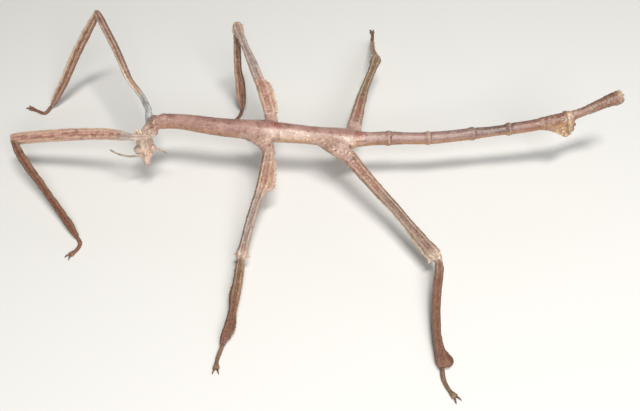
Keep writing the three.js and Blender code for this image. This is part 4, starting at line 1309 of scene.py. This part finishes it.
def along_limb(table):
    """For each point, the strength that a table gives for its limb at its place."""
    strength = np.zeros(len(co))
    for name, pairs in table.items():
        chosen = on(where, name)
        strength[chosen] = np.interp(where["place"][chosen], *np.transpose(pairs))
    return strength


body_x = co[:, 0] - FOOTPRINT[0]
place, out, across = where["place"], where["out"], where["across"]
is_trunk, is_hip, is_neck, is_head, is_thigh, is_shin, is_fore = (
    on(where, word) for word in ("trunk", "hip", "neck", "head", "thigh", "shin", "fore"))
is_leg = is_thigh | is_shin
later_thigh, later_shin = is_thigh & ~is_fore, is_shin & ~is_fore
to_front = across * by_limb({name: -1.0 for name in GUIDE_NAMES if "right" in name}, 1.0)
print("points on legs:", is_leg.sum(), "on the trunk:", is_trunk.sum())

# %% [markdown]
# Where a leg has a flange, its edge is further out, so the place across the leg is measured anew as a
# share of the true width. Then the pale edges and the painted shade of the shaded edges follow the outline.

# %% Edges of the legs
DARK_LOBES = {"mid_left": 0.68, "hind_left": 0.9}

tone = np.where(to_front > 0, *(by_limb({name: pair[k] for name, pair in EDGE_TONE.items()}) for k in (0, 1)))
for name, leg in LEGS.items():
    for part, sides in leg["flanges"].items():
        for flanges, half in zip(sides, (to_front > 0, to_front <= 0)):
            chosen = on(where, f"{name}_{part}") & half
            half_width = size_at(leg_table(name, part), place[chosen])[0]
            across[chosen] *= half_width / (half_width + flange_height(flanges, place[chosen]))
from_middle = np.abs(across)
# On the right fore thigh the pale edge is drawn wider near the base, which also paints the highlight along
# that edge.
edge_width = (0.35 * on(where, "fore_right_thigh") * (1 - ramp(place, 0.35, 0.6))
              + 0.3 * on(where, "fore_right_shin"))
light_edge = np.clip(tone, 0, 1) * ramp(from_middle + edge_width, 0.6, 0.95) * is_leg
light_edge *= np.where(on(where, "hind_left_thigh"), ramp(place, 0.35, 0.5), 1)
# Painted shade on the edge of a leg that lies in shadow; the dark lobes of two shins join it below.
edge_shade_and_dark_lobes = np.clip(-tone, 0, 1) * ramp(from_middle, 0.4, 0.85) * is_leg
for name, start in DARK_LOBES.items():
    dark_lobe = on(where, f"{name}_shin") & (to_front < 0) & (place > start)
    edge_shade_and_dark_lobes = np.maximum(edge_shade_and_dark_lobes, 0.6 * dark_lobe * ramp(from_middle, 0.35, 0.75))
rib = bump_at(from_middle, 0.5, 0.07, 0.14) * is_leg
print("dark lobes:", ", ".join(DARK_LOBES))

# %% [markdown]
# Next come the broad masks: the smooth pink body, which reaches a little way into the thighs, the
# grey-white bases of the fore legs, and red flushes at the thighs' bases and behind two joints.

# %% Masks of the broad parts
RED_THIGHS = {"mid_left_thigh": 1.0, "mid_right_thigh": 1.0, "hind_left_thigh": 1.0, "hind_right_thigh": 0.9}
GREYED_THIGHS = {"mid_right_thigh": 0.4, "mid_left_thigh": 0.3, "hind_left_thigh": 0.1}

body = np.where(is_trunk | is_hip | is_neck | is_head, 1.0, 0) + later_thigh * (1 - ramp(place, 0.0, 0.14))
pink = by_limb(PINK)
# The right middle shin is pink only on its rear half, as its front half takes painted shade.
pink = np.where(on(where, "mid_right_shin"), pink * ramp(-to_front, -0.3, 0.3), pink)
rearward = from_middle * np.where(to_front > 0, -1, 1) - 0.25 * on(where, "mid_left", "mid_right")
red = later_thigh * bump_at(place, 0.2, 0.09, 0.12) * (1 - ramp(np.abs(rearward), 0.4, 0.75))
red *= by_limb(RED_THIGHS)
red += is_trunk * ramp(out, 0.0, 0.5) * np.maximum(
    bump_at(body_x, -15.8, 0.6, 0.9), bump_at(body_x, 8.3, 0.7, 1.0))
left_base = ((0.5 + 0.5 * ramp(place, 0.05, 0.1)) * (1 - ramp(place, 0.16, 0.25))
             * on(where, "fore_left_thigh"))
right_base = (1 - ramp(place, 0.08, 0.18)) * on(where, "fore_right_thigh")
greyed = window(place, 0.3, 0.5, 0.85, 0.95) * by_limb(GREYED_THIGHS)
pale = 0.45 * left_base + right_base + on(where, "fore_right_hip") + greyed
print("points with a red flush:", (red > 0.5).sum())

# %% [markdown]
# Cream is the colour of rubbed and grainy places: the flanks, the joints, the hips, the knees, the
# neck, the tail's tip and the grasping lobe. Noise breaks it up into patches.

# %% Masks of the cream places
# How strong the cream is at the knees and at the bases of the thighs.
KNEE_CREAM = {"mid_left": 0.8, "hind_left": 1.0, "mid_right": 0.25, "hind_right": 0.15}
BASE_CREAM = {"mid_left": 0.45, "hind_left": 0.3, "mid_right": 0.45, "hind_right": 0.15}

patchy = ramp(swelling(co, 1.1, 5), -0.15, 0.25)
blotchy = ramp(swelling(co, 3.2, 7), 0.0, 0.3)
on_abdomen = is_trunk * (body_x > 8)
flank = (1 - ramp(out, 0.75, 0.97)) * ramp(out, -0.85, -0.6)
knee = later_thigh * ramp(place, 0.9, 0.97) + later_shin * (1 - ramp(place, 0.0, 0.04))
knee *= by_limb({f"{leg}_{part}": share for leg, share in KNEE_CREAM.items() for part in ("thigh", "shin")})
band = is_trunk * window(body_x, 68.5, 69.3, 70.8, 71.2) * (1 - ramp(across, 0.1, 0.5))
lobe = is_trunk * window(body_x, 63.5, 67.5, 71.3, 71.8)
lobe *= np.maximum(ramp(-out, 0.1, 0.8), band)
band *= ramp(out, -0.3, 0.1)
from_joint = np.min([np.abs(body_x - (x - 0.4)) for x in JOINTS[1:]], axis=0)
joint_cream = 0.15 + 0.45 * ramp(-out, -0.1, 0.4) * blotchy
cream = np.maximum.reduce([
    is_trunk * flank * np.maximum(0.85 * bump_at(body_x, -9, 6, 8), 0.9 * bump_at(body_x, 4, 3.5, 4)),
    lobe, knee, 0.85 * left_base, is_hip * ~is_fore * 0.35, is_head * (0.45 - 0.4 * ramp(place, 0.5, 0.9)),
    on_abdomen * bump_at(from_joint, 0, 0.2, 0.7) * patchy * joint_cream,
    on_abdomen * patchy * blotchy * 0.4,
    is_trunk * bump_at(body_x, 48.5, 3, 2) * ramp(-out, -0.3, 0.1) * patchy * 0.8,
    is_trunk * ramp(body_x, 82.5, 84.5) * patchy * 0.8,
    is_neck * np.maximum(ramp(place, 0.3, 0.75), ramp(-out, 0.0, 0.4)),
    on(where, "mid_left_hip") * 0.85 * ramp(body_x, -20, -16) * (1 - ramp(place, 0.6, 0.95)),
    on(where, "fore_left_hip") * ramp(place, 0.15, 0.45),
    # The cream on the right fore thigh's front edge also paints the highlight there.
    on(where, "fore_right_thigh") * bump_at(place, 0.26, 0.1, 0.12) * ramp(to_front, -0.2, 0.25),
    (1 - ramp(place, 0.3, 0.45)) * by_limb({f"{leg}_thigh": share for leg, share in BASE_CREAM.items()})])
print("points with cream:", (cream > 0.5).sum())

# %% [markdown]
# Last come the dark places: the dark grooves behind the joints, painted shade in all hollows and
# along the far edge of the back, and one grey ring of the abdomen. The belly's edge is tan.

# %% Masks of the dark places, the painted shade and the belly
before_tail = is_trunk * (body_x < 72)
belly_edge = before_tail * window(-out, -0.4, 0.2, 0.85, 1.0)
# Painted shade along the far top edge of the back, which turns away from the light.
back_shade = before_tail * ramp(across, 0.3, 0.8) * ramp(out, 0.0, 0.4)
grey_ring = is_trunk * bump_at(body_x, 48.5, 3, 3) * ramp(out, 0.0, 0.4)
shade_and_grey_ring = np.maximum.reduce([edge_shade_and_dark_lobes, 0.6 * back_shade, 0.45 * grey_ring])
neck_back = is_neck * (1 - ramp(place, 0.3, 0.75)) * (1 - ramp(-out, 0.0, 0.4))
from_groove = np.min([np.abs(body_x - x) for x in JOINTS[2:]], axis=0)
groove = is_trunk * bump_at(from_groove, 0, 0.1, 0.2) * 0.75
# Dark grooves at the joints, and painted shade in every hollow, found from the relief.
dark = np.maximum(soften(groove, 1), 0.7 * ramp(-relief, 0.15, 0.65))
print("points in grooves:", (groove > 0.5).sum())

# %% [markdown]
# A mesh keeps such masks as colour attributes, four masks in each. The streaks need the limb's own
# coordinates, which are kept too: how far along, how far across and how far out.

# %% Store the masks
CALM_BODY_END, CALM_RELIEF = 62, 0.7
RUN_SCALE, LIMB_SHIFT = 0.1, 7.3


def store_masks(mesh, name, rounds, *masks):
    """Up to four masks as a colour attribute, softened over the skin first."""
    softened = [soften(mask * 1.0, rounds) for mask in masks]
    softened += [np.zeros(len(co))] * (4 - len(masks))
    data = mesh.attributes.new(name, "FLOAT_COLOR", "POINT").data
    data.foreach_set("color", np.clip(np.column_stack(softened), 0, 1).astype(np.float32).ravel())


shown_relief = relief * (1 - CALM_RELIEF * (is_trunk & (body_x < CALM_BODY_END)))
store_masks(skin.data, "parts", 8, body, pink, by_limb(RUST), pale)
store_masks(skin.data, "marks", 0, grain, soften(cream, 3), dark, 0.5 + 0.5 * shown_relief)
store_masks(skin.data, "edges", 2, belly_edge, rib, lobe * (1 - 0.8 * band), neck_back)
store_masks(skin.data, "shades", 5, *(along_limb(table) for table in (OLIVE, UMBER, MAUVE)))
store_masks(skin.data, "tints", 3, light_edge, shade_and_grey_ring, is_head * (1 - 0.35 * ramp(place, 0.5, 0.85)), red)
course_space = skin.data.attributes.new("course", "FLOAT_VECTOR", "POINT").data
course_space.foreach_set("vector", np.column_stack(
    (where["run"] * RUN_SCALE + where["limb"] * LIMB_SHIFT, across, out)).astype(np.float32).ravel())

skin.data.transform(Matrix.Scale(MILLIMETRE, 4))
skin.data.update()
print("masks stored on", len(co), "points")

# %% [markdown]
# ## Shader helpers and shared effects
#
# Materials are node trees. A short helper adds a node, sets its inputs and links what is given, so a
# material reads as a list of steps. Two effects are used by several finishes, so each is a node group:
# long streaks that follow the limb, and a fine grain. Both give out only masks and heights.

# %% Node helpers
def set_inputs(tree, node, inputs):
    """Inputs by name with _ for a space, or by number as in i0, set to values or linked to sockets."""
    for key, value in inputs.items():
        socket = node.inputs[int(key[1:])] if key[1:].isdigit() else node.inputs[key.replace("_", " ")]
        if isinstance(value, bpy.types.NodeSocket):
            tree.links.new(value, socket)
        else:
            socket.default_value = value


def add_node(tree, kind, settings=None, **inputs):
    node = tree.nodes.new(kind)
    for key, value in (settings or {}).items():
        setattr(node, key, value)
    set_inputs(tree, node, inputs)
    return node


def blend_colours(tree, factor, under, over):
    mix = add_node(tree, "ShaderNodeMix", {"data_type": "RGBA"}, i0=factor, i6=under, i7=over)
    return mix.outputs[2]


def shade(tree, pattern, dark, light):
    """A colour that changes from dark to light with a pattern."""
    return blend_colours(tree, pattern, linear(*dark), linear(*light))


def maths(tree, operation, one, other):
    return add_node(tree, "ShaderNodeMath", {"operation": operation}, i0=one, i1=other).outputs[0]


def lay(tree, colour, *layers):
    """Colours laid over one another; a layer is a colour and the masks that say where it is."""
    for over, factor, *masks in layers:
        for mask in masks:
            factor = maths(tree, "MULTIPLY", factor, mask)
        colour = blend_colours(tree, factor, colour, over)
    return colour


def spread(tree, value, low, high, to_low=0.0, to_high=1.0):
    """A value's range from low to high, stretched to another one and held inside it."""
    return add_node(tree, "ShaderNodeMapRange", {"clamp": True}, Value=value, From_Min=low, From_Max=high,
                    To_Min=to_low, To_Max=to_high).outputs[0]


def bumped(tree, height, strength, distance):
    return add_node(tree, "ShaderNodeBump", Strength=strength, Distance=distance, Height=height).outputs[0]


def finish_shader(tree, **inputs):
    set_inputs(tree, tree.nodes["Principled BSDF"], inputs)


def attribute(tree, name):
    return add_node(tree, "ShaderNodeAttribute", {"attribute_name": name})


print("node helpers ready")

# %% [markdown]
# A node group has its own inputs and outputs, and is built once. The streaks are noise in the limb's
# own coordinates, slow along it and quick across it, so it is drawn out into fibres.

# %% Streaks along a limb
def new_group(name, inputs, outputs):
    group = bpy.data.node_groups.new(name, "ShaderNodeTree")
    for label, (kind, value) in inputs.items():
        socket = group.interface.new_socket(name=label, in_out="INPUT", socket_type=kind)
        if value is not None:
            socket.default_value = value
    for label in outputs:
        group.interface.new_socket(name=label, in_out="OUTPUT", socket_type="NodeSocketFloat")
    return group, group.nodes.new("NodeGroupInput").outputs, group.nodes.new("NodeGroupOutput").inputs


def use_group(tree, group, **inputs):
    return add_node(tree, "ShaderNodeGroup", {"node_tree": group}, **inputs).outputs


def put_out(tree, sockets, **values):
    for label, value in values.items():
        tree.links.new(value, sockets[label])


streaks, given, results = new_group(
    "streaks along the limb",
    {"Course": ("NodeSocketVector", None), "Length": ("NodeSocketFloat", 4.0),
     "Fineness": ("NodeSocketFloat", 2.2)},
    ["Broad", "Fine", "Height"])
factors = add_node(streaks, "ShaderNodeCombineXYZ", X=given["Length"], Y=given["Fineness"],
                   Z=given["Fineness"])
stretched = add_node(streaks, "ShaderNodeVectorMath", {"operation": "MULTIPLY"}, i0=given["Course"],
                     i1=factors.outputs[0]).outputs[0]
broad, fine = (
    add_node(streaks, "ShaderNodeTexNoise", Vector=stretched, Scale=scale, Detail=detail,
             Roughness=rough).outputs[0]
    for scale, detail, rough in ((1.0, 2.0, 0.5), (3.1, 4.0, 0.62)))
put_out(streaks, results, Broad=spread(streaks, broad, 0.38, 0.62), Fine=spread(streaks, fine, 0.36, 0.64),
        Height=maths(streaks, "ADD", maths(streaks, "MULTIPLY", broad, 0.5), fine))
print("shared effect:", streaks.name)

# %% [markdown]
# The fine grain is a cell pattern, whose cells are turned into tiny domes, and a soft mottling. Both
# are in the object's own space.

# %% Fine grain
MOTTLE_SHARE = 0.21

fine_grain, given, results = new_group(
    "fine grain", {"Scale": ("NodeSocketFloat", 3000.0)}, ["Grain", "Mottle", "Height"])
own_space = add_node(fine_grain, "ShaderNodeTexCoord").outputs["Object"]
cells = add_node(fine_grain, "ShaderNodeTexVoronoi", {"feature": "F1"}, Vector=own_space,
                 Scale=given["Scale"], Randomness=1.0)
domes = spread(fine_grain, cells.outputs["Distance"], 0.05, 0.42, 1.0, 0.0)
mottle = add_node(fine_grain, "ShaderNodeTexNoise", Vector=own_space, Detail=5.0, Roughness=0.6,
                  Scale=maths(fine_grain, "MULTIPLY", given["Scale"], MOTTLE_SHARE)).outputs[0]
put_out(fine_grain, results, Grain=domes, Mottle=spread(fine_grain, mottle, 0.36, 0.64),
        Height=maths(fine_grain, "ADD", maths(fine_grain, "MULTIPLY", domes, 0.5), mottle))
print("shared effect:", fine_grain.name)

# %% [markdown]
# ## The skin's finish
#
# The colours are laid on in the order in which the animal has them. First come the parts: the brown
# of the legs, the pink of some of them, rust on the feet, the mauve-pink of the body, then the olive,
# mauve and umber that change along a limb, the neck, the head, and the red flushes.

# %% Colours of the parts
def channels(tree, name):
    source = attribute(tree, name)
    split = add_node(tree, "ShaderNodeSeparateColor", Color=source.outputs["Color"])
    return [*split.outputs, source.outputs["Alpha"]]


cuticle = simple_material("cuticle", linear(150, 110, 90), 0.5)
tree = cuticle.node_tree
body_part, pink_part, rust_part, pale_part = channels(tree, "parts")
grain_mark, cream_mark, joint_dark_and_hollow_shade_mark, relief_mark = channels(tree, "marks")
belly_mark, rib_mark, lobe_mark, neck_part = channels(tree, "edges")
light_mark, shade_and_ring_mark, head_part, red_mark = channels(tree, "tints")
olive_mark, umber_mark, mauve_mark, _ = channels(tree, "shades")
streak = use_group(tree, streaks, Course=attribute(tree, "course").outputs["Vector"], Length=4.0,
                   Fineness=2.4)
grains = use_group(tree, fine_grain, Scale=2600.0)
patches = use_group(tree, fine_grain, Scale=900.0)

body_pink = lay(tree, shade(tree, patches["Mottle"], (128, 82, 68), (176, 134, 118)),
                (linear(196, 168, 160), streak["Fine"], 0.4))
colour = lay(
    tree, shade(tree, streak["Broad"], (112, 78, 58), (160, 124, 98)),
    (shade(tree, streak["Broad"], (156, 106, 92), (200, 158, 142)), pink_part),
    (shade(tree, streak["Fine"], (112, 68, 50), (156, 102, 78)), rust_part, 0.85),
    (body_pink, body_part),
    (shade(tree, streak["Fine"], (100, 80, 56), (148, 124, 94)), olive_mark, 0.9),
    (shade(tree, streak["Fine"], (98, 78, 74), (148, 122, 114)), mauve_mark, 0.9),
    (shade(tree, streak["Fine"], (84, 44, 26), (132, 78, 50)), umber_mark, 0.9),
    (linear(130, 94, 78), neck_part, 0.85),
    (shade(tree, patches["Mottle"], (188, 144, 128), (230, 208, 188)), head_part, 0.9),
    (linear(142, 68, 50), red_mark, spread(tree, streak["Fine"], 0, 1, 0.45, 0.95)))
print("nodes for the parts:", len(tree.nodes))

# %% [markdown]
# Over the parts come the marks: pale ribs, light edges, painted shade on shaded leg edges and the
# far edge of the back, one grey ring, cream, the tan edge of the belly, the warts of the lobe, and the
# near white of the fore legs' slim bases. Last come wear and painted shade: ridges and grains are rubbed
# pale, the grooves at the joints are dark, hollows get painted shade, and tiny specks lie over everything.

# %% Marks, painted shade and wear
rubbed = spread(tree, umber_mark, 0, 1, 1.0, 0.15)
colour = lay(
    tree, colour,
    (linear(202, 174, 148), rib_mark, streak["Fine"], rubbed),
    (linear(236, 216, 188), light_mark, spread(tree, streak["Fine"], 0, 1, 0.5, 1.0)),
    # Painted shade on the shaded edges of legs and the far edge of the back, with the own grey ring.
    (linear(84, 56, 42), shade_and_ring_mark, 0.8),
    (shade(tree, patches["Mottle"], (214, 182, 152), (252, 238, 218)), cream_mark,
     spread(tree, patches["Grain"], 0.1, 0.7, 0.4, 1.0)),
    (linear(184, 130, 82), belly_mark, spread(tree, patches["Mottle"], 0, 1, 0.45, 0.8)),
    # The lobe's colour is dark in its hollows, which is painted shade, and pale on its warts.
    (shade(tree, relief_mark, (146, 92, 50), (246, 214, 162)), lobe_mark, 0.8),
    (shade(tree, streak["Broad"], (146, 147, 144), (180, 182, 180)), pale_part),
    (linear(226, 200, 172), spread(tree, relief_mark, 0.54, 0.85), rubbed, 0.55),
    (linear(232, 206, 174), grain_mark, rubbed, spread(tree, streak["Fine"], 0, 1, 0.2, 0.7)),
    # Dark joint grooves, and painted shade in the hollows.
    (linear(84, 52, 38), joint_dark_and_hollow_shade_mark, spread(tree, streak["Fine"], 0.0, 1.0, 0.85, 0.45)),
    (linear(230, 208, 184), grains["Grain"], grains["Mottle"], 0.28),
    (linear(252, 244, 234), head_part, grains["Grain"], 0.4),
    (linear(92, 60, 46), spread(tree, grains["Mottle"], 0.3, 0.0, 0.0, 0.4)))
print("nodes with the marks:", len(tree.nodes))

# %% [markdown]
# The body is smoother and glossier than the ribbed legs, so its mask lowers both the roughness and
# the streaks in the bump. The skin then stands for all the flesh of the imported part.

# %% Gloss, bump and the skin's place
streak_height = maths(tree, "MULTIPLY", streak["Height"], spread(tree, body_part, 0, 1, 1.0, 0.5))
height = maths(tree, "ADD", streak_height, maths(tree, "MULTIPLY", grains["Height"], 0.7))
roughness = maths(tree, "ADD", spread(tree, body_part, 0.0, 1.0, 0.42, 0.24),
                  maths(tree, "MULTIPLY", grains["Mottle"], 0.16))
finish_shader(tree, Base_Color=colour, Roughness=roughness, Normal=bumped(tree, height, 0.7, 0.00013))
skin.data.materials.append(cuticle)

FLESH = [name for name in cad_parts
         if not name.startswith(("eye", "feeler")) and not name.endswith("claws")]
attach(skin, "root")
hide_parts(*FLESH)
print("skin stands for", len(FLESH), "nodes")

# %% [markdown]
# ## Eyes
#
# An insect's eye is a hard, glossy dome of thousands of facets. The facets are far too small to model,
# so they are a fine cell pattern in the bump, while the dome is a true ball, sunk in its socket. Dark
# stripes run over it lengthwise.

# %% Eye material and eyes
def finish_piece(bm, name, material, nodes):
    """A bmesh in millimetres as a finished piece in metres that rides on the body."""
    bmesh.ops.recalc_face_normals(bm, faces=bm.faces)
    made = object_from(bm, name)
    made.data.transform(Matrix.Scale(MILLIMETRE, 4))
    for polygon in made.data.polygons:
        polygon.use_smooth = True
    made.data.materials.append(material)
    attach(made, "root")
    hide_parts(*nodes)
    return made


horny_eye = simple_material("eye", linear(96, 66, 50), 0.16)
tree = horny_eye.node_tree
own_space = add_node(tree, "ShaderNodeTexCoord").outputs["Object"]
facets = add_node(tree, "ShaderNodeTexVoronoi", {"feature": "F1"}, Vector=own_space, Scale=16000.0,
                  Randomness=0.35)
stripes = add_node(tree, "ShaderNodeTexWave", {"wave_type": "BANDS", "bands_direction": "X"},
                   Vector=own_space, Scale=1150.0, Distortion=5.0, Detail=2.0, Detail_Scale=1.3)
eye_mottle = use_group(tree, fine_grain, Scale=4200.0)
striped = spread(tree, stripes.outputs["Fac"], 0.3, 0.75)
colour = lay(tree, shade(tree, striped, (150, 116, 104), (232, 212, 196)),
             (linear(170, 130, 108), eye_mottle["Mottle"], 0.5))
finish_shader(tree, Base_Color=colour, Coat_Weight=0.8, Coat_Roughness=0.06,
              Normal=bumped(tree, facets.outputs["Distance"], 0.35, 0.00003))

for word, (centre, _) in eyes.items():
    eye_bm = bmesh.new()
    lump(eye_bm, centre, [EYE["radius"]] * 3, (head.left, head.up, head.along), detail=5)
    finish_piece(eye_bm, f"eyeball_{word}", horny_eye, [f"eye_{word}"])
    print("eye", word, "at", [round(v, 1) for v in centre])

# %% [markdown]
# ## Feelers
#
# A feeler is a string of short joints on two thick root joints. It is one tube whose radius swells in
# the middle of each joint, which is cheaper and sturdier than separate beads. Its joints are banded.

# %% Feeler material
feeler_finish = simple_material("feeler", linear(150, 116, 86), 0.5)
tree = feeler_finish.node_tree
feeler_grain = use_group(tree, fine_grain, Scale=5200.0)
colour = lay(tree, shade(tree, feeler_grain["Mottle"], (128, 110, 92), (196, 184, 164)),
             (linear(92, 56, 38), attribute(tree, "joint").outputs["Fac"], 0.7))
finish_shader(tree, Base_Color=colour, Normal=bumped(tree, feeler_grain["Height"], 0.4, 0.00004))
print("feeler material:", len(tree.nodes), "nodes")

# %% [markdown]
# The radius is worked out at close stops along the line. The bands between the joints are kept on the
# mesh as an attribute, which the material reads.

# %% Feelers
FEELERS = {
    "right": [(-55.6, -3.6, 12.6), (-58.6, -4.4, 12.9), (-62, -4.0, 13.6), (-64.3, -3.0, 14.2)],
    "left": [(-52.5, -2.6, 13.2), (-50.6, -2.0, 13.4), (-49.2, -2.4, 13.2), (-47.4, -3.5, 12.9)],
}
JOINT_LENGTH, ROOT_LENGTH, FEELER_STEP = 0.62, 0.7, 0.06
FEELER_RADII, FEELER_TIP = (0.34, 0.25), 0.03
FEELER_TURNS = np.arange(14) / 14 * 2 * math.pi


def feeler_radius(stop, run):
    root = 1 + 0.35 * (1 - ramp(run, 0.9, 1.3)) + 0.12 * (1 - ramp(run, 1.6, 2.0))
    swell = 0.86 + 0.2 * math.sin(math.pi * (run / JOINT_LENGTH % 1)) ** 0.6
    radius = np.interp(stop, (0, 1), FEELER_RADII) * root * (swell if run > 1.7 else 0.98)
    return max(radius * (1 - ramp(stop, 0.985, 1.012)), FEELER_TIP)


for word, points in FEELERS.items():
    course = Course(points, UP)
    rings, bands = [], []
    for stop in np.linspace(-ROOT_LENGTH / course.length, 1, round(course.length / FEELER_STEP)):
        run = stop * course.length
        radius = feeler_radius(stop, run)
        centre, _, across, out = course.at(stop)
        rings.append([centre + radius * (math.cos(t) * across + math.sin(t) * out) for t in FEELER_TURNS])
        bands.append((1 - math.sin(math.pi * (run / JOINT_LENGTH % 1)) ** 0.5) if run > 1.3 else 0.0)
    feeler_bm = bmesh.new()
    roll_tube(feeler_bm, rings)
    made = finish_piece(feeler_bm, f"antenna_{word}", feeler_finish, [f"feeler_{word}"])
    line = np.mean(rings, axis=1)
    spots = points_of(made.data) / MILLIMETRE
    nearest = np.array([np.argmin(((line - spot) ** 2).sum(axis=1)) for spot in spots])
    mark = made.data.attributes.new("joint", "FLOAT", "POINT").data
    mark.foreach_set("value", np.array(bands)[nearest].astype(np.float32))
    print("feeler", word, round(course.length, 1), "mm long")

# %% [markdown]
# ## Claws
#
# Every foot ends in two curved claws of dark, polished horn. Each is a tube that narrows to
# its point and bends down to the floor, and the two part from one root at the tip of the pad.

# %% Claws
CLAW = {"length": 1.5, "spread": 0.62, "base": 0.27, "tip": 0.07, "rise": 0.34}
ROOT_HEIGHT, BEND_HEIGHT, TIP_HEIGHT = 0.4, 0.36, 0.1

horn = simple_material("horn", linear(84, 60, 46), 0.25)
tree = horn.node_tree
horn_grain = use_group(tree, fine_grain, Scale=3600.0)
finish_shader(tree, Base_Color=shade(tree, horn_grain["Mottle"], (70, 46, 34), (122, 92, 70)),
              Normal=bumped(tree, horn_grain["Height"], 0.2, 0.00003))

for name, leg in LEGS.items():
    tip, before = (np.array(p) + FOOTPRINT for p in (leg["foot"][-1], leg["foot"][-2]))
    along = unit((tip - before) * (1, 1, 0))
    across = np.cross(along, UP)
    root = tip + along * 0.1
    root[2] = ROOT_HEIGHT
    claw_bm = bmesh.new()
    for side in (-1, 1):
        start = root + across * side * 0.22
        bend = root + along * CLAW["length"] * 0.62 + across * side * CLAW["spread"] * 0.95
        bend[2] = BEND_HEIGHT + CLAW["rise"] * 0.6
        end = root + along * (CLAW["length"] + 0.08) + across * side * CLAW["spread"] * 1.3
        end[2] = TIP_HEIGHT
        bent_tube(claw_bm, [start, bend, end], [CLAW["base"], CLAW["base"] * 0.8, CLAW["tip"]], spacing=0.12)
    finish_piece(claw_bm, f"hooks_{name}", horn, [f"{name}_claws"])
print("claw pairs:", len(LEGS))
